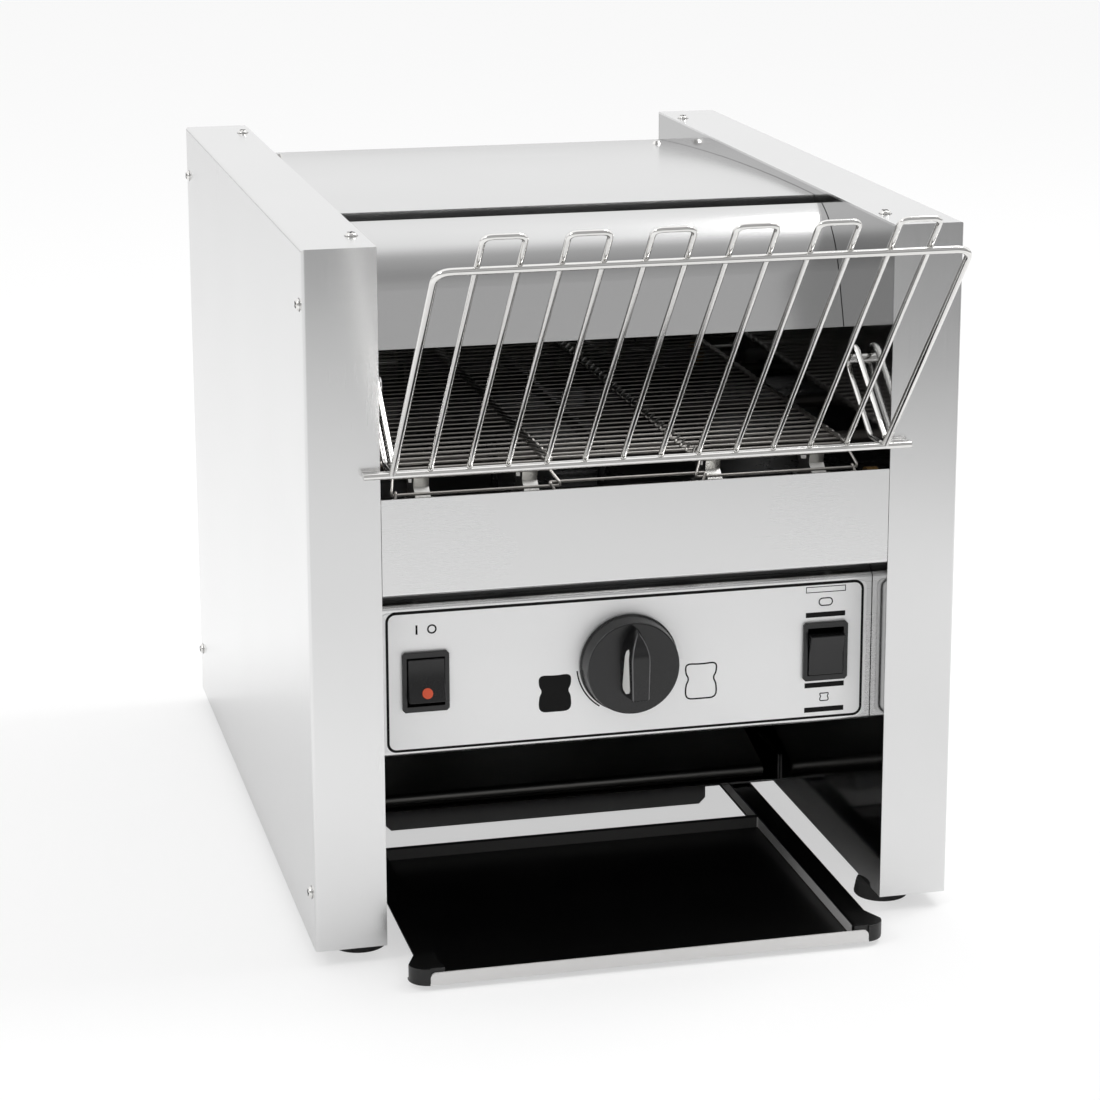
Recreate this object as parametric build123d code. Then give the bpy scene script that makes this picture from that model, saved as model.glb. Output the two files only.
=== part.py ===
from build123d import *

import os
from math import atan2, cos, degrees, hypot, pi, radians, sin, tan

# Conveyor toaster. Millimetres, +Z up, +Y to the back, X centred between the sides.
# While it is drawn, Y is 0 at the front faces of the side columns and Z is 0 on the counter.

# ---- case ----
case_width = 368.0
case_depth = 485.0
case_height = 392.0
foot_height = 9.0
column_width = 40.0
sheet = 1.2
fold_radius = 1.8
sheet_gap = 0.3
overshoot = 1.0

# ---- feet ----
foot_radius = 16.0
foot_taper_angle = 11.0
foot_inset = 29.0
foot_sides = 32

# ---- screws ----
screw_head_radius = 3.3
panel_screw_head_radius = 2.6
screw_head_height = 2.2
screw_head_angle = 24.0
screw_head_sides = 10
screw_shank_radius = 1.6
screw_clearance = 0.3
screw_shank_length = 5.0
side_screw_inset = 11.0
side_screw_drop = 31.0
top_screw_inset = 7.0
top_screw_setback = 37.0

# ---- belt lane, shifted left to leave room for the drive ----
lane_shift = 4.0
belt_wall_gap = 7.0
belt_edge_loop = 9.0
belt_spaces = 3
wire_diameter = 1.8
wire_side_gap = 0.35
belt_edge_slant = 2.4
belt_bend_half = 4.5
belt_target_pitch = 10.8
belt_radius = 24.0
front_shaft_y = 31.0
rear_shaft_inset = 97.0
shaft_drop = 152.5

# ---- shafts and sprockets ----
shaft_radius = 6.0
shaft_clearance = 0.05
bush_wall = 2.6
bush_sides = 16
bush_inner_reach = 3.2
bush_flange_radius = 12.0
bush_flange_thickness = 1.5
shaft_end_reach = 6.0
sprocket_width = 8.5
sprocket_teeth = 7
sprocket_tooth_width = 5.5
sprocket_root_radius = 16.0
sprocket_tip_gap = 0.3
sprocket_joint_offset = 11.0
sprocket_bore_sides = 12

# ---- drive in the right column ----
drive_gap = 5.0
drive_sprocket_width = 4.0
drive_sprocket_radius = 15.0
drive_sprocket_root = 12.0
drive_tooth_land = 1.6
drive_tooth_base = 5.0
drive_sprocket_teeth = 12
drive_hub_radius = 9.0
drive_hub_reach = 4.0
chain_gap = 0.4
chain_thickness = 5.0
chain_sides = 20
motor_y = 96.0
motor_rise = 51.0
motor_can_radius = 21.6
motor_can_length = 48.0
motor_can_drop = 8.0
motor_can_setback = 6.0
motor_band_rise = 3.0
motor_band_inset = 10.0
motor_sides = 20
gearbox_length = 30.0
gearbox_width = 43.0
gearbox_height = 52.0
gearbox_drop = 30.0
gearbox_chamfer = 6.0
motor_shaft_radius = 5.0
motor_shaft_depth = 23.0

# ---- front plates ----
fascia_drop = 9.0
fascia_height = 54.5
fascia_return = 12.0
panel_seam = 1.0
panel_flange_height = 12.5
panel_face_height = 86.5
panel_face_y = 25.0
panel_flange_setback = 4.5
panel_return = 14.0
panel_shoulder_rise = 3.0
panel_fold_radius = 2.6
overlay_margin = 3.0
overlay_thickness = 0.4
overlay_corner = 4.0
panel_screw_inset = 23.7
panel_screw_drop = 4.4
control_box_depth = 120.0
control_box_rise = 5.0
control_box_lap = 4.0

# ---- controls ----
control_rise = 43.5
switch_inset = 27.7
switch_width = 26.5
switch_height = 34.5
switch_bezel_depth = 2.2
switch_bezel_lap = 1.8
switch_corner = 1.5
switch_body_depth = 22.0
switch_floor = 1.5
terminal_length = 8.0
terminal_width = 4.8
terminal_thickness = 0.8
terminal_pitch = 7.0
rocker_width = 20.6
rocker_window_gap = 0.3
rocker_half_height = 12.2
rocker_tilt_angle = 10.0
rocker_front = 7.0
rocker_pivot_depth = 5.5
rocker_back = 7.0
rocker_edge_depth = 5.0
rocker_back_half = 4.0
lamp_radius = 3.0
lamp_drop = 7.0
lamp_height = 0.8
lamp_sides = 20
knob_rise = 45.5
knob_base_radius = 28.5
knob_front_radius = 26.6
knob_depth = 12.0
knob_skirt = 2.0
knob_skirt_step = 0.8
knob_sides = 48
knob_gap = 0.6
grip_tip = 24.0
grip_tail = 13.5
grip_half_width = 7.0
grip_height = 16.0
grip_tip_height = 2.0
grip_flat_start = 9.6
grip_draft_angle = 7.0
grip_shoulder = -2.0
grip_tail_step = 0.6
grip_facets = 4
marker_depth = 0.7
marker_outline = ((15.5, 2.0), (15.5, 5.0), (-5.5, 13.4), (-8.5, 11.0), (-8.5, 6.0), (-5.5, 3.0))
spindle_radius = 3.0
spindle_clearance = 0.05
spindle_socket = 10.0
regulator_size = 34.0
regulator_depth = 24.0
regulator_neck_radius = 5.0
regulator_neck_sides = 16

# ---- hood and covers ----
hood_front_y = 83.4
hood_mouth_drop = 73.2
hood_lean_angle = 70.5
hood_straight = 33.0
hood_bend_radius = 57.5
hood_bend_angle = 49.0
hood_hem = 7.0
cover_slot = 13.5
cover_front_drop = 5.0
cover_rear_drop = 19.0
cover_bulge = 3.5
cover_lip = 7.0
cover_rear_lip = 14.0
cover_screw_setback = 46.0
cover_screw_inset = 14.0

# ---- heaters ----
heater_radius = 4.0
heater_sides = 8
heater_clearance = 0.4
heater_cap_radius = 7.0
heater_cap_length = 9.0
heater_cap_sides = 8
upper_heater_rise = 18.2
upper_heater_count = 4
upper_heater_margin = 25.0
lower_heater_rise = 6.5
lower_heater_count = 3
lower_heater_margin = 45.0
upper_reflector_rise = 32.2
upper_reflector_front_y = 120.0
upper_reflector_inset = 22.0
lower_reflector_drop = 8.5
lower_reflector_inset = 35.0
lower_reflector_lip = 7.0
guard_gap = 0.3
guard_radius = 1.5
guard_count = 6
guard_inset = 20.0
rail_thickness = 3.0
rail_height = 7.0
rail_foot = 6.0
rail_inset = 2.0
rail_spread = 0.75
rail_gap = 0.3

# ---- base, chute and tray ----
base_pan_rise = 5.0
base_pan_lead = 7.5
base_apron_inset = 50.0
base_apron_drop = 11.0
base_apron_corner = 4.0
base_side_flange = 16.0
chute_wall_gap = 2.0
chute_roll_radius = 4.5
chute_roll_y = 197.5
chute_roll_wrap_angle = 180.0
chute_slope_angle = 15.0
chute_bend_radius = 240.0
chute_end_angle = 80.0
chute_end_straight = 30.0
chute_back_gap = 1.8
tray_floor_z = 3.0
tray_front_y = -47.0
tray_back_y = 138.0
tray_wall_height = 9.4
tray_wall_gap = 4.5
tray_side_step = 18.5
tray_flange = 13.0
tray_lip_height = 7.0
tray_lip_inset = 10.5
tray_apron_depth = 12.0
tray_corner = 11.0
tray_lip_corner = 3.0
tray_arm_corner = 7.8
tray_arm_end_y = 330.0
tray_guide_start_y = 206.0
tray_guide_gap = 0.3
tray_guide_side_gap = 1.0
tray_guide_clear = 2.0

# ---- back panel ----
back_return = 12.0
back_vent_count = 6
back_vent_width = 52.0
back_vent_height = 4.5
back_vent_pitch = 11.0
back_vent_drop = 101.0
gland_inset = 39.7
gland_rise = 48.0
gland_bore_radius = 4.5
gland_neck_radius = 8.0
gland_sides = 16
gland_cap_radius = 11.0
gland_cap_angle = 14.0
gland_nut_radius = 12.5
gland_nut_thickness = 5.0
gland_lock_thickness = 4.0
gland_reach = 16.0

# ---- loading rack ----
wire_sides = 8
rack_frame_radius = 2.0
rack_slat_radius = 1.6
rack_rear_rod_radius = 1.65
rack_hook_radius = 1.75
rack_wall_gap = 5.5
rack_hook_inset = 0.5
rack_rod_overlap = 10.0
rack_rod_rise = 5.9
rack_reach = 128.0
rack_rail_rise = 131.6
rack_corner_radius = 9.0
rack_slat_count = 12
rack_slat_start = 0.6
rack_loop_reach = 22.0
rack_loop_radius = 4.5
hook_half_gap = 9.4
hook_slope_angle = 38.0
hook_knee_radius = 5.0
hook_bend_y = 46.6
hook_bend_rise = 35.9
hook_bend_steps = 6
hook_weld_lift = 0.35
peg_radius = 3.0
peg_hole_sides = 12
peg_head_sides = 12
peg_gap = 0.3
peg_side_angle = 17.4
peg_head_radius = 4.2
peg_head_thickness = 1.5
peg_reach = 1.0

# ---- places that follow from the sizes above ----
wall_x = case_width / 2 - column_width
inside_half = wall_x - sheet_gap
base_z = foot_height
top_z = foot_height + case_height
back_y = case_depth - sheet
lane_x = -lane_shift
lane_half = wall_x - lane_shift
belt_half_width = lane_half - belt_wall_gap
space_width = 2 * (belt_half_width - belt_edge_loop) / belt_spaces
lane_left = lane_x - belt_half_width + belt_edge_loop
rear_shaft_y = case_depth - rear_shaft_inset
shaft_z = top_z - shaft_drop
belt_gap = rear_shaft_y - front_shaft_y
belt_loop = 2 * belt_gap + 2 * pi * belt_radius
strand_count = round(belt_loop / belt_target_pitch)
belt_pitch = belt_loop / strand_count
belt_top_z = shaft_z + belt_radius
wire_radius = wire_diameter / 2
sprocket_tip_radius = belt_radius - wire_radius - sprocket_tip_gap
bush_radius = shaft_radius + shaft_clearance + bush_wall
drive_x = wall_x + sheet + bush_flange_thickness + drive_gap
fascia_top_z = belt_top_z - fascia_drop
fascia_bottom_z = fascia_top_z - fascia_height
panel_flange_top_z = fascia_bottom_z - panel_seam
panel_shoulder_z = panel_flange_top_z - panel_flange_height
panel_bottom_z = panel_shoulder_z - panel_face_height
panel_flange_y = panel_face_y + panel_flange_setback
overlay_y = panel_face_y - overlay_thickness
control_z = panel_bottom_z + control_rise
knob_z = panel_bottom_z + knob_rise
motor_z = panel_bottom_z + motor_rise
switch_x = inside_half - switch_inset
panel_screw_span = inside_half - panel_screw_inset
control_box_top_z = fascia_bottom_z + control_box_rise
hood_bottom_z = top_z - hood_mouth_drop
hood_end_angle = hood_lean_angle - hood_bend_angle
hood_bend_reach = hood_bend_radius * (sin(radians(hood_lean_angle)) - sin(radians(hood_end_angle)))
hood_rear_y = hood_front_y + hood_straight * cos(radians(hood_lean_angle)) + hood_bend_reach
cover_front_y = hood_rear_y + cover_slot
cover_front_z = top_z - cover_front_drop
cover_rear_y = back_y - sheet_gap
cover_rear_z = top_z - cover_rear_drop
upper_heater_z = hood_bottom_z + upper_heater_rise
upper_reflector_z = hood_bottom_z + upper_reflector_rise
upper_reflector_rear_y = rear_shaft_y - upper_reflector_inset
guard_top_z = upper_heater_z - heater_radius - guard_gap
upper_reflector_lip = upper_reflector_z - guard_top_z
lower_heater_z = shaft_z + lower_heater_rise
lower_reflector_z = shaft_z - lower_reflector_drop
lower_reflector_front_y = front_shaft_y + lower_reflector_inset
lower_reflector_rear_y = rear_shaft_y - lower_reflector_inset
base_pan_z = base_z + base_pan_rise
base_pan_front_y = chute_roll_y - base_pan_lead
chute_half_width = lane_half - chute_wall_gap
chute_curve_run = chute_bend_radius * (sin(radians(chute_end_angle)) - sin(radians(chute_slope_angle)))
chute_end_run = chute_end_straight * cos(radians(chute_end_angle))
chute_top_y = chute_roll_y - chute_roll_radius * sin(radians(chute_slope_angle))
chute_slope_run = back_y - chute_back_gap - chute_end_run - chute_curve_run - chute_top_y
chute_straight = chute_slope_run / cos(radians(chute_slope_angle))
base_apron_half = chute_half_width - base_apron_inset
tray_apron_half = lane_half - tray_wall_gap
tray_inner_half = tray_apron_half - tray_side_step
tray_lip_half = tray_apron_half - tray_lip_inset
gland_x = inside_half - gland_inset
back_vent_x = inside_half / 2
back_vent_z = top_z - back_vent_drop
gland_z = base_pan_z + gland_rise
rack_half_width = wall_x - rack_wall_gap
rack_rod_half_length = wall_x + rack_rod_overlap
rack_rod_z = belt_top_z + rack_rod_rise
rack_rail_y = -rack_reach
rack_rail_z = rack_rod_z + rack_rail_rise
rear_rod_y = -sheet_gap - rack_rear_rod_radius
front_rod_y = rear_rod_y - rack_rear_rod_radius - rack_frame_radius
rack_rise = hypot(rack_rail_y - front_rod_y, rack_rail_rise)
rack_dir = ((rack_rail_y - front_rod_y) / rack_rise, rack_rail_rise / rack_rise)
hook_dir = (cos(radians(hook_slope_angle)), sin(radians(hook_slope_angle)))
hook_bend_z = rack_rod_z + hook_bend_rise
peg_shift = hook_half_gap - rack_hook_radius - peg_radius - peg_gap
peg_y = hook_bend_y + peg_shift * cos(radians(peg_side_angle))
peg_z = hook_bend_z + peg_shift * sin(radians(peg_side_angle))
rear_most_y = case_depth + gland_reach





def block(x0, x1, y0, y1, z0, z1):
    """A box between two corners."""
    size = Box(x1 - x0, y1 - y0, z1 - z0)
    return Pos((x0 + x1) / 2, (y0 + y1) / 2, (z0 + z1) / 2) * size


def disc_x(x0, x1, y, z, radius):
    """A cylinder that runs along X."""
    place = Plane(origin=((x0 + x1) / 2, y, z), z_dir=(1, 0, 0))
    return place * Cylinder(radius, abs(x1 - x0))


def disc_y(y0, y1, x, z, radius):
    """A cylinder that runs along Y."""
    place = Plane(origin=(x, (y0 + y1) / 2, z), z_dir=(0, 1, 0))
    return place * Cylinder(radius, abs(y1 - y0))


def prism_x(x0, x1, y, z, radius, sides, outside=False):
    """A many-sided bar along X, inside its circle or, if asked, outside it."""
    place = Plane(origin=(min(x0, x1), y, z), x_dir=(0, 1, 0), z_dir=(1, 0, 0))
    return extrude(place * RegularPolygon(radius, sides, major_radius=not outside), amount=abs(x1 - x0))


def prism_y(y0, y1, x, z, radius, sides, taper=0):
    """A many-sided bar along Y."""
    place = Plane(origin=(x, y0, z), x_dir=(1, 0, 0), z_dir=(0, 1, 0))
    return extrude(place * RegularPolygon(radius, sides), amount=y1 - y0, taper=taper)


def side_section(face, x0, x1):
    """A face drawn as (y, z) and pulled from x0 to x1."""
    return Pos(x0, 0, 0) * extrude(Plane.YZ * face, amount=x1 - x0)


def folded(path, x0, x1, side=Side.RIGHT):
    """A folded sheet whose outer line is the path, drawn as (y, z)."""
    face = make_face(offset(path, amount=sheet, side=side, kind=Kind.INTERSECTION))
    return side_section(face, x0, x1)


def eased(points, cut):
    """The points of a bent wire, each corner replaced by two that lie the cut away from it."""
    line = [Vector(*points[0])]
    for before, corner, after in zip(points, points[1:], points[2:]):
        middle = Vector(*corner)
        line.append(middle + (Vector(*before) - middle).normalized() * cut)
        line.append(middle + (Vector(*after) - middle).normalized() * cut)
    return [*line, Vector(*points[-1])]


def rod(points, radius):
    """A many-sided wire through the points, which starts across X, mitred at its corners."""
    line = Polyline(*points)
    start = Plane(origin=line @ 0, x_dir=(1, 0, 0), z_dir=line % 0)
    section = RegularPolygon(radius, wire_sides, major_radius=False, rotation=180 / wire_sides)
    return sweep(start * section, path=line, transition=Transition.RIGHT)


def screw(point, out, head_radius=screw_head_radius):
    """A pan head screw whose head sits on the point, with its shank pointing in."""
    head = extrude(
        RegularPolygon(head_radius, screw_head_sides), amount=screw_head_height, taper=screw_head_angle
    )
    shank = extrude(RegularPolygon(screw_shank_radius, 6), amount=-screw_shank_length)
    return Plane(origin=point, z_dir=out) * (head + shank)


def screw_hole(point, out):
    """What a screw's shank needs cut out of the sheets below its head."""
    hole = extrude(
        RegularPolygon(screw_shank_radius + screw_clearance, 6), amount=screw_shank_length, both=True
    )
    return Plane(origin=point, z_dir=out) * hole


# ---------------------------------------------------------------- case

def side_screw_points(side):
    """Where the screws of one side panel sit, each with its outward direction."""
    outer = side * case_width / 2
    rows = (base_z + side_screw_drop, top_z - side_screw_drop)
    columns = (side_screw_inset, case_depth - side_screw_inset)
    return [((outer, y, z), (side, 0, 0)) for y in columns for z in rows]


def top_screw_points(side):
    """Where the screws of one top flange sit."""
    x = side * (wall_x + top_screw_inset)
    return [((x, y, top_z), (0, 0, 1)) for y in (top_screw_setback, case_depth - top_screw_setback)]


def side_panel(side):
    """An outer side panel: skin, front, top and rear flanges folded from one sheet."""
    solid = block(-case_width / 2, -wall_x, 0, case_depth, base_z, top_z)
    folds = solid.edges().filter_by(Axis.Z).sort_by(Axis.X)[:2]
    folds += solid.edges().filter_by(Axis.Y).sort_by(Axis.Z)[-2:].sort_by(Axis.X)[:1]
    solid = fillet(folds, fold_radius)
    inner = solid.faces().sort_by(Axis.X)[-1]
    bottom = solid.faces().sort_by(Axis.Z)[0]
    shell = offset(solid, amount=-sheet, openings=[inner, bottom])
    for point, out in side_screw_points(-1) + top_screw_points(-1):
        shell -= screw_hole(point, out)
    return shell if side < 0 else mirror(shell, about=Plane.YZ)


def heater_places():
    """Places of the upper and of the lower heaters, as (y, z)."""
    upper = spread(upper_reflector_front_y, upper_reflector_rear_y, upper_heater_margin, upper_heater_count)
    lower = spread(lower_reflector_front_y, lower_reflector_rear_y, lower_heater_margin, lower_heater_count)
    return [(y, upper_heater_z) for y in upper], [(y, lower_heater_z) for y in lower]


def spread(start, end, margin, count):
    """Evenly spread values from a margin after the start to a margin before the end."""
    step = (end - start - 2 * margin) / (count - 1)
    return [start + margin + step * n for n in range(count)]


def wall_cuts(side):
    """Holes in an inner side wall, as (y, z, radius, sides)."""
    upper, lower = heater_places()
    cuts = [(y, shaft_z, bush_radius, bush_sides) for y in (front_shaft_y, rear_shaft_y)]
    cuts += [(y, z, heater_radius + heater_clearance, heater_sides) for y, z in upper + lower]
    if side > 0:
        cuts.append((motor_y, motor_z, drive_hub_radius + overshoot, bush_sides))
    return cuts


def chassis_side(side):
    """An inner side wall with the foot flange folded outwards at its bottom."""
    y0, y1 = sheet + sheet_gap, back_y - sheet_gap
    x0, x1 = wall_x - overshoot, wall_x + sheet + overshoot
    wall = block(wall_x, wall_x + sheet, y0, y1, base_z, top_z - sheet)
    flange = block(wall_x, case_width / 2 - sheet - sheet_gap, y0, y1, base_z, base_z + sheet)
    part = wall + flange
    for y, z, radius, sides in wall_cuts(side):
        part -= prism_x(x0, x1, y, z, radius, sides)
    part -= prism_x(x0, x1, peg_y, peg_z, peg_radius, peg_hole_sides, outside=True)
    return part if side > 0 else mirror(part, about=Plane.YZ)


def foot(x, y):
    """A tapered rubber foot with a flat sole."""
    return Pos(x, y, 0) * extrude(
        RegularPolygon(foot_radius, foot_sides), amount=foot_height, taper=foot_taper_angle
    )


def case_parts():
    """Side panels, inner walls, feet and the screws of the case."""
    parts = {}
    for side, name in ((-1, "left"), (1, "right")):
        parts[f"side_panel_{name}"] = side_panel(side)
        parts[f"chassis_wall_{name}"] = chassis_side(side)
        parts[f"side_screws_{name}"] = [screw(p, o) for p, o in side_screw_points(side)]
        parts[f"top_screws_{name}"] = [screw(p, o) for p, o in top_screw_points(side)]
        x = side * (case_width / 2 - foot_inset)
        parts[f"foot_front_{name}"] = foot(x, foot_inset)
        parts[f"foot_rear_{name}"] = foot(x, case_depth - foot_inset)
    return parts


def gland():
    """A cable gland: a neck through the back panel, a nut on each side and a tapered cap outside."""
    inner = back_y - gland_lock_thickness - sheet
    nut_end = case_depth + gland_nut_thickness
    neck = prism_y(inner, case_depth, gland_x, gland_z, gland_neck_radius, gland_sides)
    lock = prism_y(back_y - gland_lock_thickness, back_y, gland_x, gland_z, gland_nut_radius, 6)
    nut = prism_y(case_depth, nut_end, gland_x, gland_z, gland_nut_radius, 6)
    cap = prism_y(nut_end, rear_most_y, gland_x, gland_z, gland_cap_radius, gland_sides, gland_cap_angle)
    bore = disc_y(inner - overshoot, rear_most_y + overshoot, gland_x, gland_z, gland_bore_radius)
    return neck + lock + nut + cap - bore


def back_panel():
    """The back panel, with side returns, two banks of vents and the gland hole."""
    z0, z1 = base_pan_z, cover_rear_z - sheet
    y0, y1 = back_y - overshoot, case_depth + overshoot
    plate = block(-inside_half, inside_half, back_y, case_depth, z0, z1)
    low, high = z0 + sheet + sheet_gap, cover_rear_z - cover_rear_lip - sheet_gap
    for side in (-1, 1):
        edge = side * inside_half
        plate += block(*sorted((edge, edge - side * sheet)), back_y - back_return, back_y, low, high)
        x0, x1 = side * back_vent_x - back_vent_width / 2, side * back_vent_x + back_vent_width / 2
        for row in range(back_vent_count):
            z = back_vent_z + row * back_vent_pitch
            plate -= block(x0, x1, y0, y1, z - back_vent_height / 2, z + back_vent_height / 2)
    return plate - prism_y(y0, y1, gland_x, gland_z, gland_neck_radius, gland_sides)


def cover_crown():
    """The low arc of the rear cover, bulged up over its chord."""
    return SagittaArc((cover_front_y, cover_front_z), (cover_rear_y, cover_rear_z), cover_bulge)


def top_cover():
    """The low crowned cover behind the hood, folded down at both ends."""
    front_lip = Line((cover_front_y, cover_front_z - cover_lip), (cover_front_y, cover_front_z))
    rear_lip = Line((cover_rear_y, cover_rear_z), (cover_rear_y, cover_rear_z - cover_rear_lip))
    path = Wire([front_lip.edge(), cover_crown().edge(), rear_lip.edge()])
    cover = folded(path, -inside_half, inside_half)
    for point, out in cover_screw_points():
        cover -= screw_hole(point, out)
    return cover


def cover_screw_points():
    """Screws near the rear corners of the cover, square to its surface."""
    crown = cover_crown()
    place = 1 - cover_screw_setback / crown.length
    point, along = crown @ place, crown % place
    span = inside_half - cover_screw_inset
    return [((x, point.X, point.Y), (0, -along.Y, along.X)) for x in (-span, span)]


def hood():
    """The curved front hood: a straight lower face, a long bend and hemmed edges."""
    face = PolarLine((hood_front_y, hood_bottom_z), hood_straight, hood_lean_angle)
    bend = JernArc(face @ 1, face % 1, hood_bend_radius, -hood_bend_angle)
    lower_hem = PolarLine((hood_front_y + hood_hem, hood_bottom_z), hood_hem, 180)
    rear_hem = Line(bend @ 1, bend @ 1 + (0, -hood_hem))
    path = Wire([lower_hem.edge(), face.edge(), bend.edge(), rear_hem.edge()])
    return folded(path, -inside_half, inside_half)


# ---------------------------------------------------------------- front plates and controls

def fascia():
    """The plain plate that hides the front of the belt."""
    path = FilletPolyline(
        (0, fascia_top_z), (0, fascia_bottom_z), (fascia_return, fascia_bottom_z), radius=fold_radius
    )
    return folded(path, -inside_half, inside_half, Side.LEFT)


def panel_windows():
    """Openings in the control panel for the two switches and the regulator's neck."""
    y0, y1 = panel_face_y - overshoot, panel_face_y + sheet + overshoot
    cuts = [prism_y(y0, y1, 0, knob_z, regulator_neck_radius, regulator_neck_sides)]
    lap = switch_bezel_lap - sheet_gap
    half_w, half_h = switch_width / 2 - lap, switch_height / 2 - lap
    for side in (-1, 1):
        x = side * switch_x
        cuts.append(block(x - half_w, x + half_w, y0, y1, control_z - half_h, control_z + half_h))
    return cuts


def control_panel():
    """The control panel: a face with a shoulder and screw flange above and a return below."""
    path = FilletPolyline(
        (panel_flange_y, panel_flange_top_z), (panel_flange_y, panel_shoulder_z + panel_shoulder_rise),
        (panel_face_y, panel_shoulder_z), (panel_face_y, panel_bottom_z),
        (panel_face_y + panel_return, panel_bottom_z), radius=panel_fold_radius,
    )
    panel = folded(path, -inside_half, inside_half, Side.LEFT)
    for cut in panel_windows():
        panel -= cut
    for point, out in panel_screw_points():
        panel -= screw_hole(point, out)
    return panel


def panel_screw_points():
    """The three screws in the shadow gap above the control panel."""
    z = panel_flange_top_z - panel_screw_drop
    return [((x, panel_flange_y, z), (0, -1, 0)) for x in (-panel_screw_span, 0, panel_screw_span)]


def control_overlay():
    """The printed overlay on the control panel's face."""
    z0, z1 = panel_bottom_z + overlay_margin, panel_shoulder_z - overlay_margin
    width = 2 * (inside_half - overlay_margin)
    middle = Plane(origin=(0, panel_face_y, (z0 + z1) / 2), z_dir=(0, -1, 0), x_dir=(1, 0, 0))
    plate = extrude(middle * RectangleRounded(width, z1 - z0, overlay_corner), amount=overlay_thickness)
    for cut in panel_windows():
        plate -= cut
    return plate


def control_box():
    """The folded cover that closes the space behind the control panel."""
    front, back = panel_flange_y + sheet, panel_face_y + control_box_depth
    floor = panel_bottom_z + sheet + sheet_gap
    path = Polyline(
        (front, panel_shoulder_z + control_box_lap), (front, control_box_top_z), (back, control_box_top_z),
        (back, floor), (panel_face_y + panel_return + control_box_lap, floor),
    )
    box = folded(path, -inside_half, inside_half)
    for point, out in panel_screw_points():
        box -= screw_hole(point, out)
    return box


def switch_body(side):
    """A snap-in rocker switch housing: bezel, body, terminals and the window for the rocker."""
    x = side * switch_x
    face = overlay_y
    front = face - switch_bezel_depth
    half_w, half_h = switch_width / 2, switch_height / 2
    bezel = block(x - half_w, x + half_w, front, face, control_z - half_h, control_z + half_h)
    bezel = chamfer(bezel.edges().filter_by(Axis.Y), switch_corner)
    half_w -= switch_bezel_lap
    half_h -= switch_bezel_lap
    rear = face + switch_body_depth
    body = block(x - half_w, x + half_w, face, rear, control_z - half_h, control_z + half_h)
    window_w = rocker_width / 2 + rocker_window_gap
    window_h = rocker_swing_half() + rocker_window_gap
    floor = face + rocker_pivot_depth + rocker_back + switch_floor
    window = block(
        x - window_w, x + window_w, front - overshoot, floor, control_z - window_h, control_z + window_h
    )
    part = bezel + body - window
    half_w, half_t = terminal_width / 2, terminal_thickness / 2
    for place in (-terminal_pitch, 0, terminal_pitch):
        z = control_z + place
        part += block(x - half_w, x + half_w, rear, rear + terminal_length, z - half_t, z + half_t)
    return part


def rocker_corner():
    """The rocker's front corner, as distances in front of and above its pivot."""
    return rocker_front + rocker_half_height * tan(radians(rocker_tilt_angle)), rocker_half_height


def rocker_swing_half():
    """The largest half height that the tilting rocker reaches."""
    ahead, up = rocker_corner()
    turn = radians(rocker_tilt_angle)
    return up * cos(turn) + ahead * sin(turn)


def rocker_pivot():
    """Place of the rocker's pivot in the side view."""
    return overlay_y - switch_bezel_depth + rocker_pivot_depth, control_z


def rocker(side, tilt):
    """A rocker with two flats that meet in a shallow valley, tilted to its resting side."""
    ahead, up = rocker_corner()
    y, z = rocker_pivot()
    edge = rocker_edge_depth - ahead
    outline = Polyline(
        (-rocker_front, 0), (-ahead, up), (edge, up), (rocker_back, rocker_back_half),
        (rocker_back, -rocker_back_half), (edge, -up), (-ahead, -up), (-rocker_front, 0),
    )
    face = Pos(y, z) * Rot(0, 0, tilt) * make_face(outline)
    x = side * switch_x
    return side_section(face, x - rocker_width / 2, x + rocker_width / 2)


def power_lamp(tilt):
    """The round lens on the lower flat of the power rocker."""
    y, z = rocker_pivot()
    turn = radians(tilt)
    flat_y, flat_z = -rocker_front - lamp_drop * tan(radians(rocker_tilt_angle)), -lamp_drop
    place = (
        -switch_x, y + flat_y * cos(turn) - flat_z * sin(turn), z + flat_y * sin(turn) + flat_z * cos(turn)
    )
    lean = turn - radians(rocker_tilt_angle)
    out = Vector(0, -cos(lean), -sin(lean))
    lens = extrude(RegularPolygon(lamp_radius, lamp_sides), amount=lamp_height)
    return Plane(origin=place, z_dir=out) * lens


def grip_arc(start, end, low, high):
    """Points of a quarter wave that leaves the start steeply and reaches the end level."""
    points = []
    for n in range(grip_facets + 1):
        share = n / grip_facets
        points.append((start + (end - start) * share, low + (high - low) * sin(share * pi / 2)))
    return points


def grip_block(inset):
    """The pointer grip on the knob's face, drawn inset from its flanks."""
    flank = grip_arc(grip_tip, grip_shoulder, 0, grip_half_width)
    tail = grip_half_width - grip_tail_step
    left = [(-half, along) for along, half in flank] + [(-tail, -grip_tail)]
    right = [(-x, y) for x, y in reversed(left[1:])]
    outline = make_face(Polyline(*left, *right, close=True))
    if inset:
        outline = offset(outline, amount=-inset, kind=Kind.INTERSECTION)
    tall = extrude(Pos(0, 0, knob_depth) * outline, amount=grip_height, taper=grip_draft_angle)
    return tall & side_section(grip_profile(), -knob_base_radius, knob_base_radius)


def grip_profile():
    """The grip's side view: a ridge that rises from the tip to a flat top."""
    low, high = knob_depth - overshoot, knob_depth + grip_height
    rise = grip_arc(grip_tip, grip_flat_start, knob_depth + grip_tip_height, high)
    back = -grip_tail - overshoot
    return make_face(Polyline((grip_tip, low), *rise, (back, high), (back, low), close=True))


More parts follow.
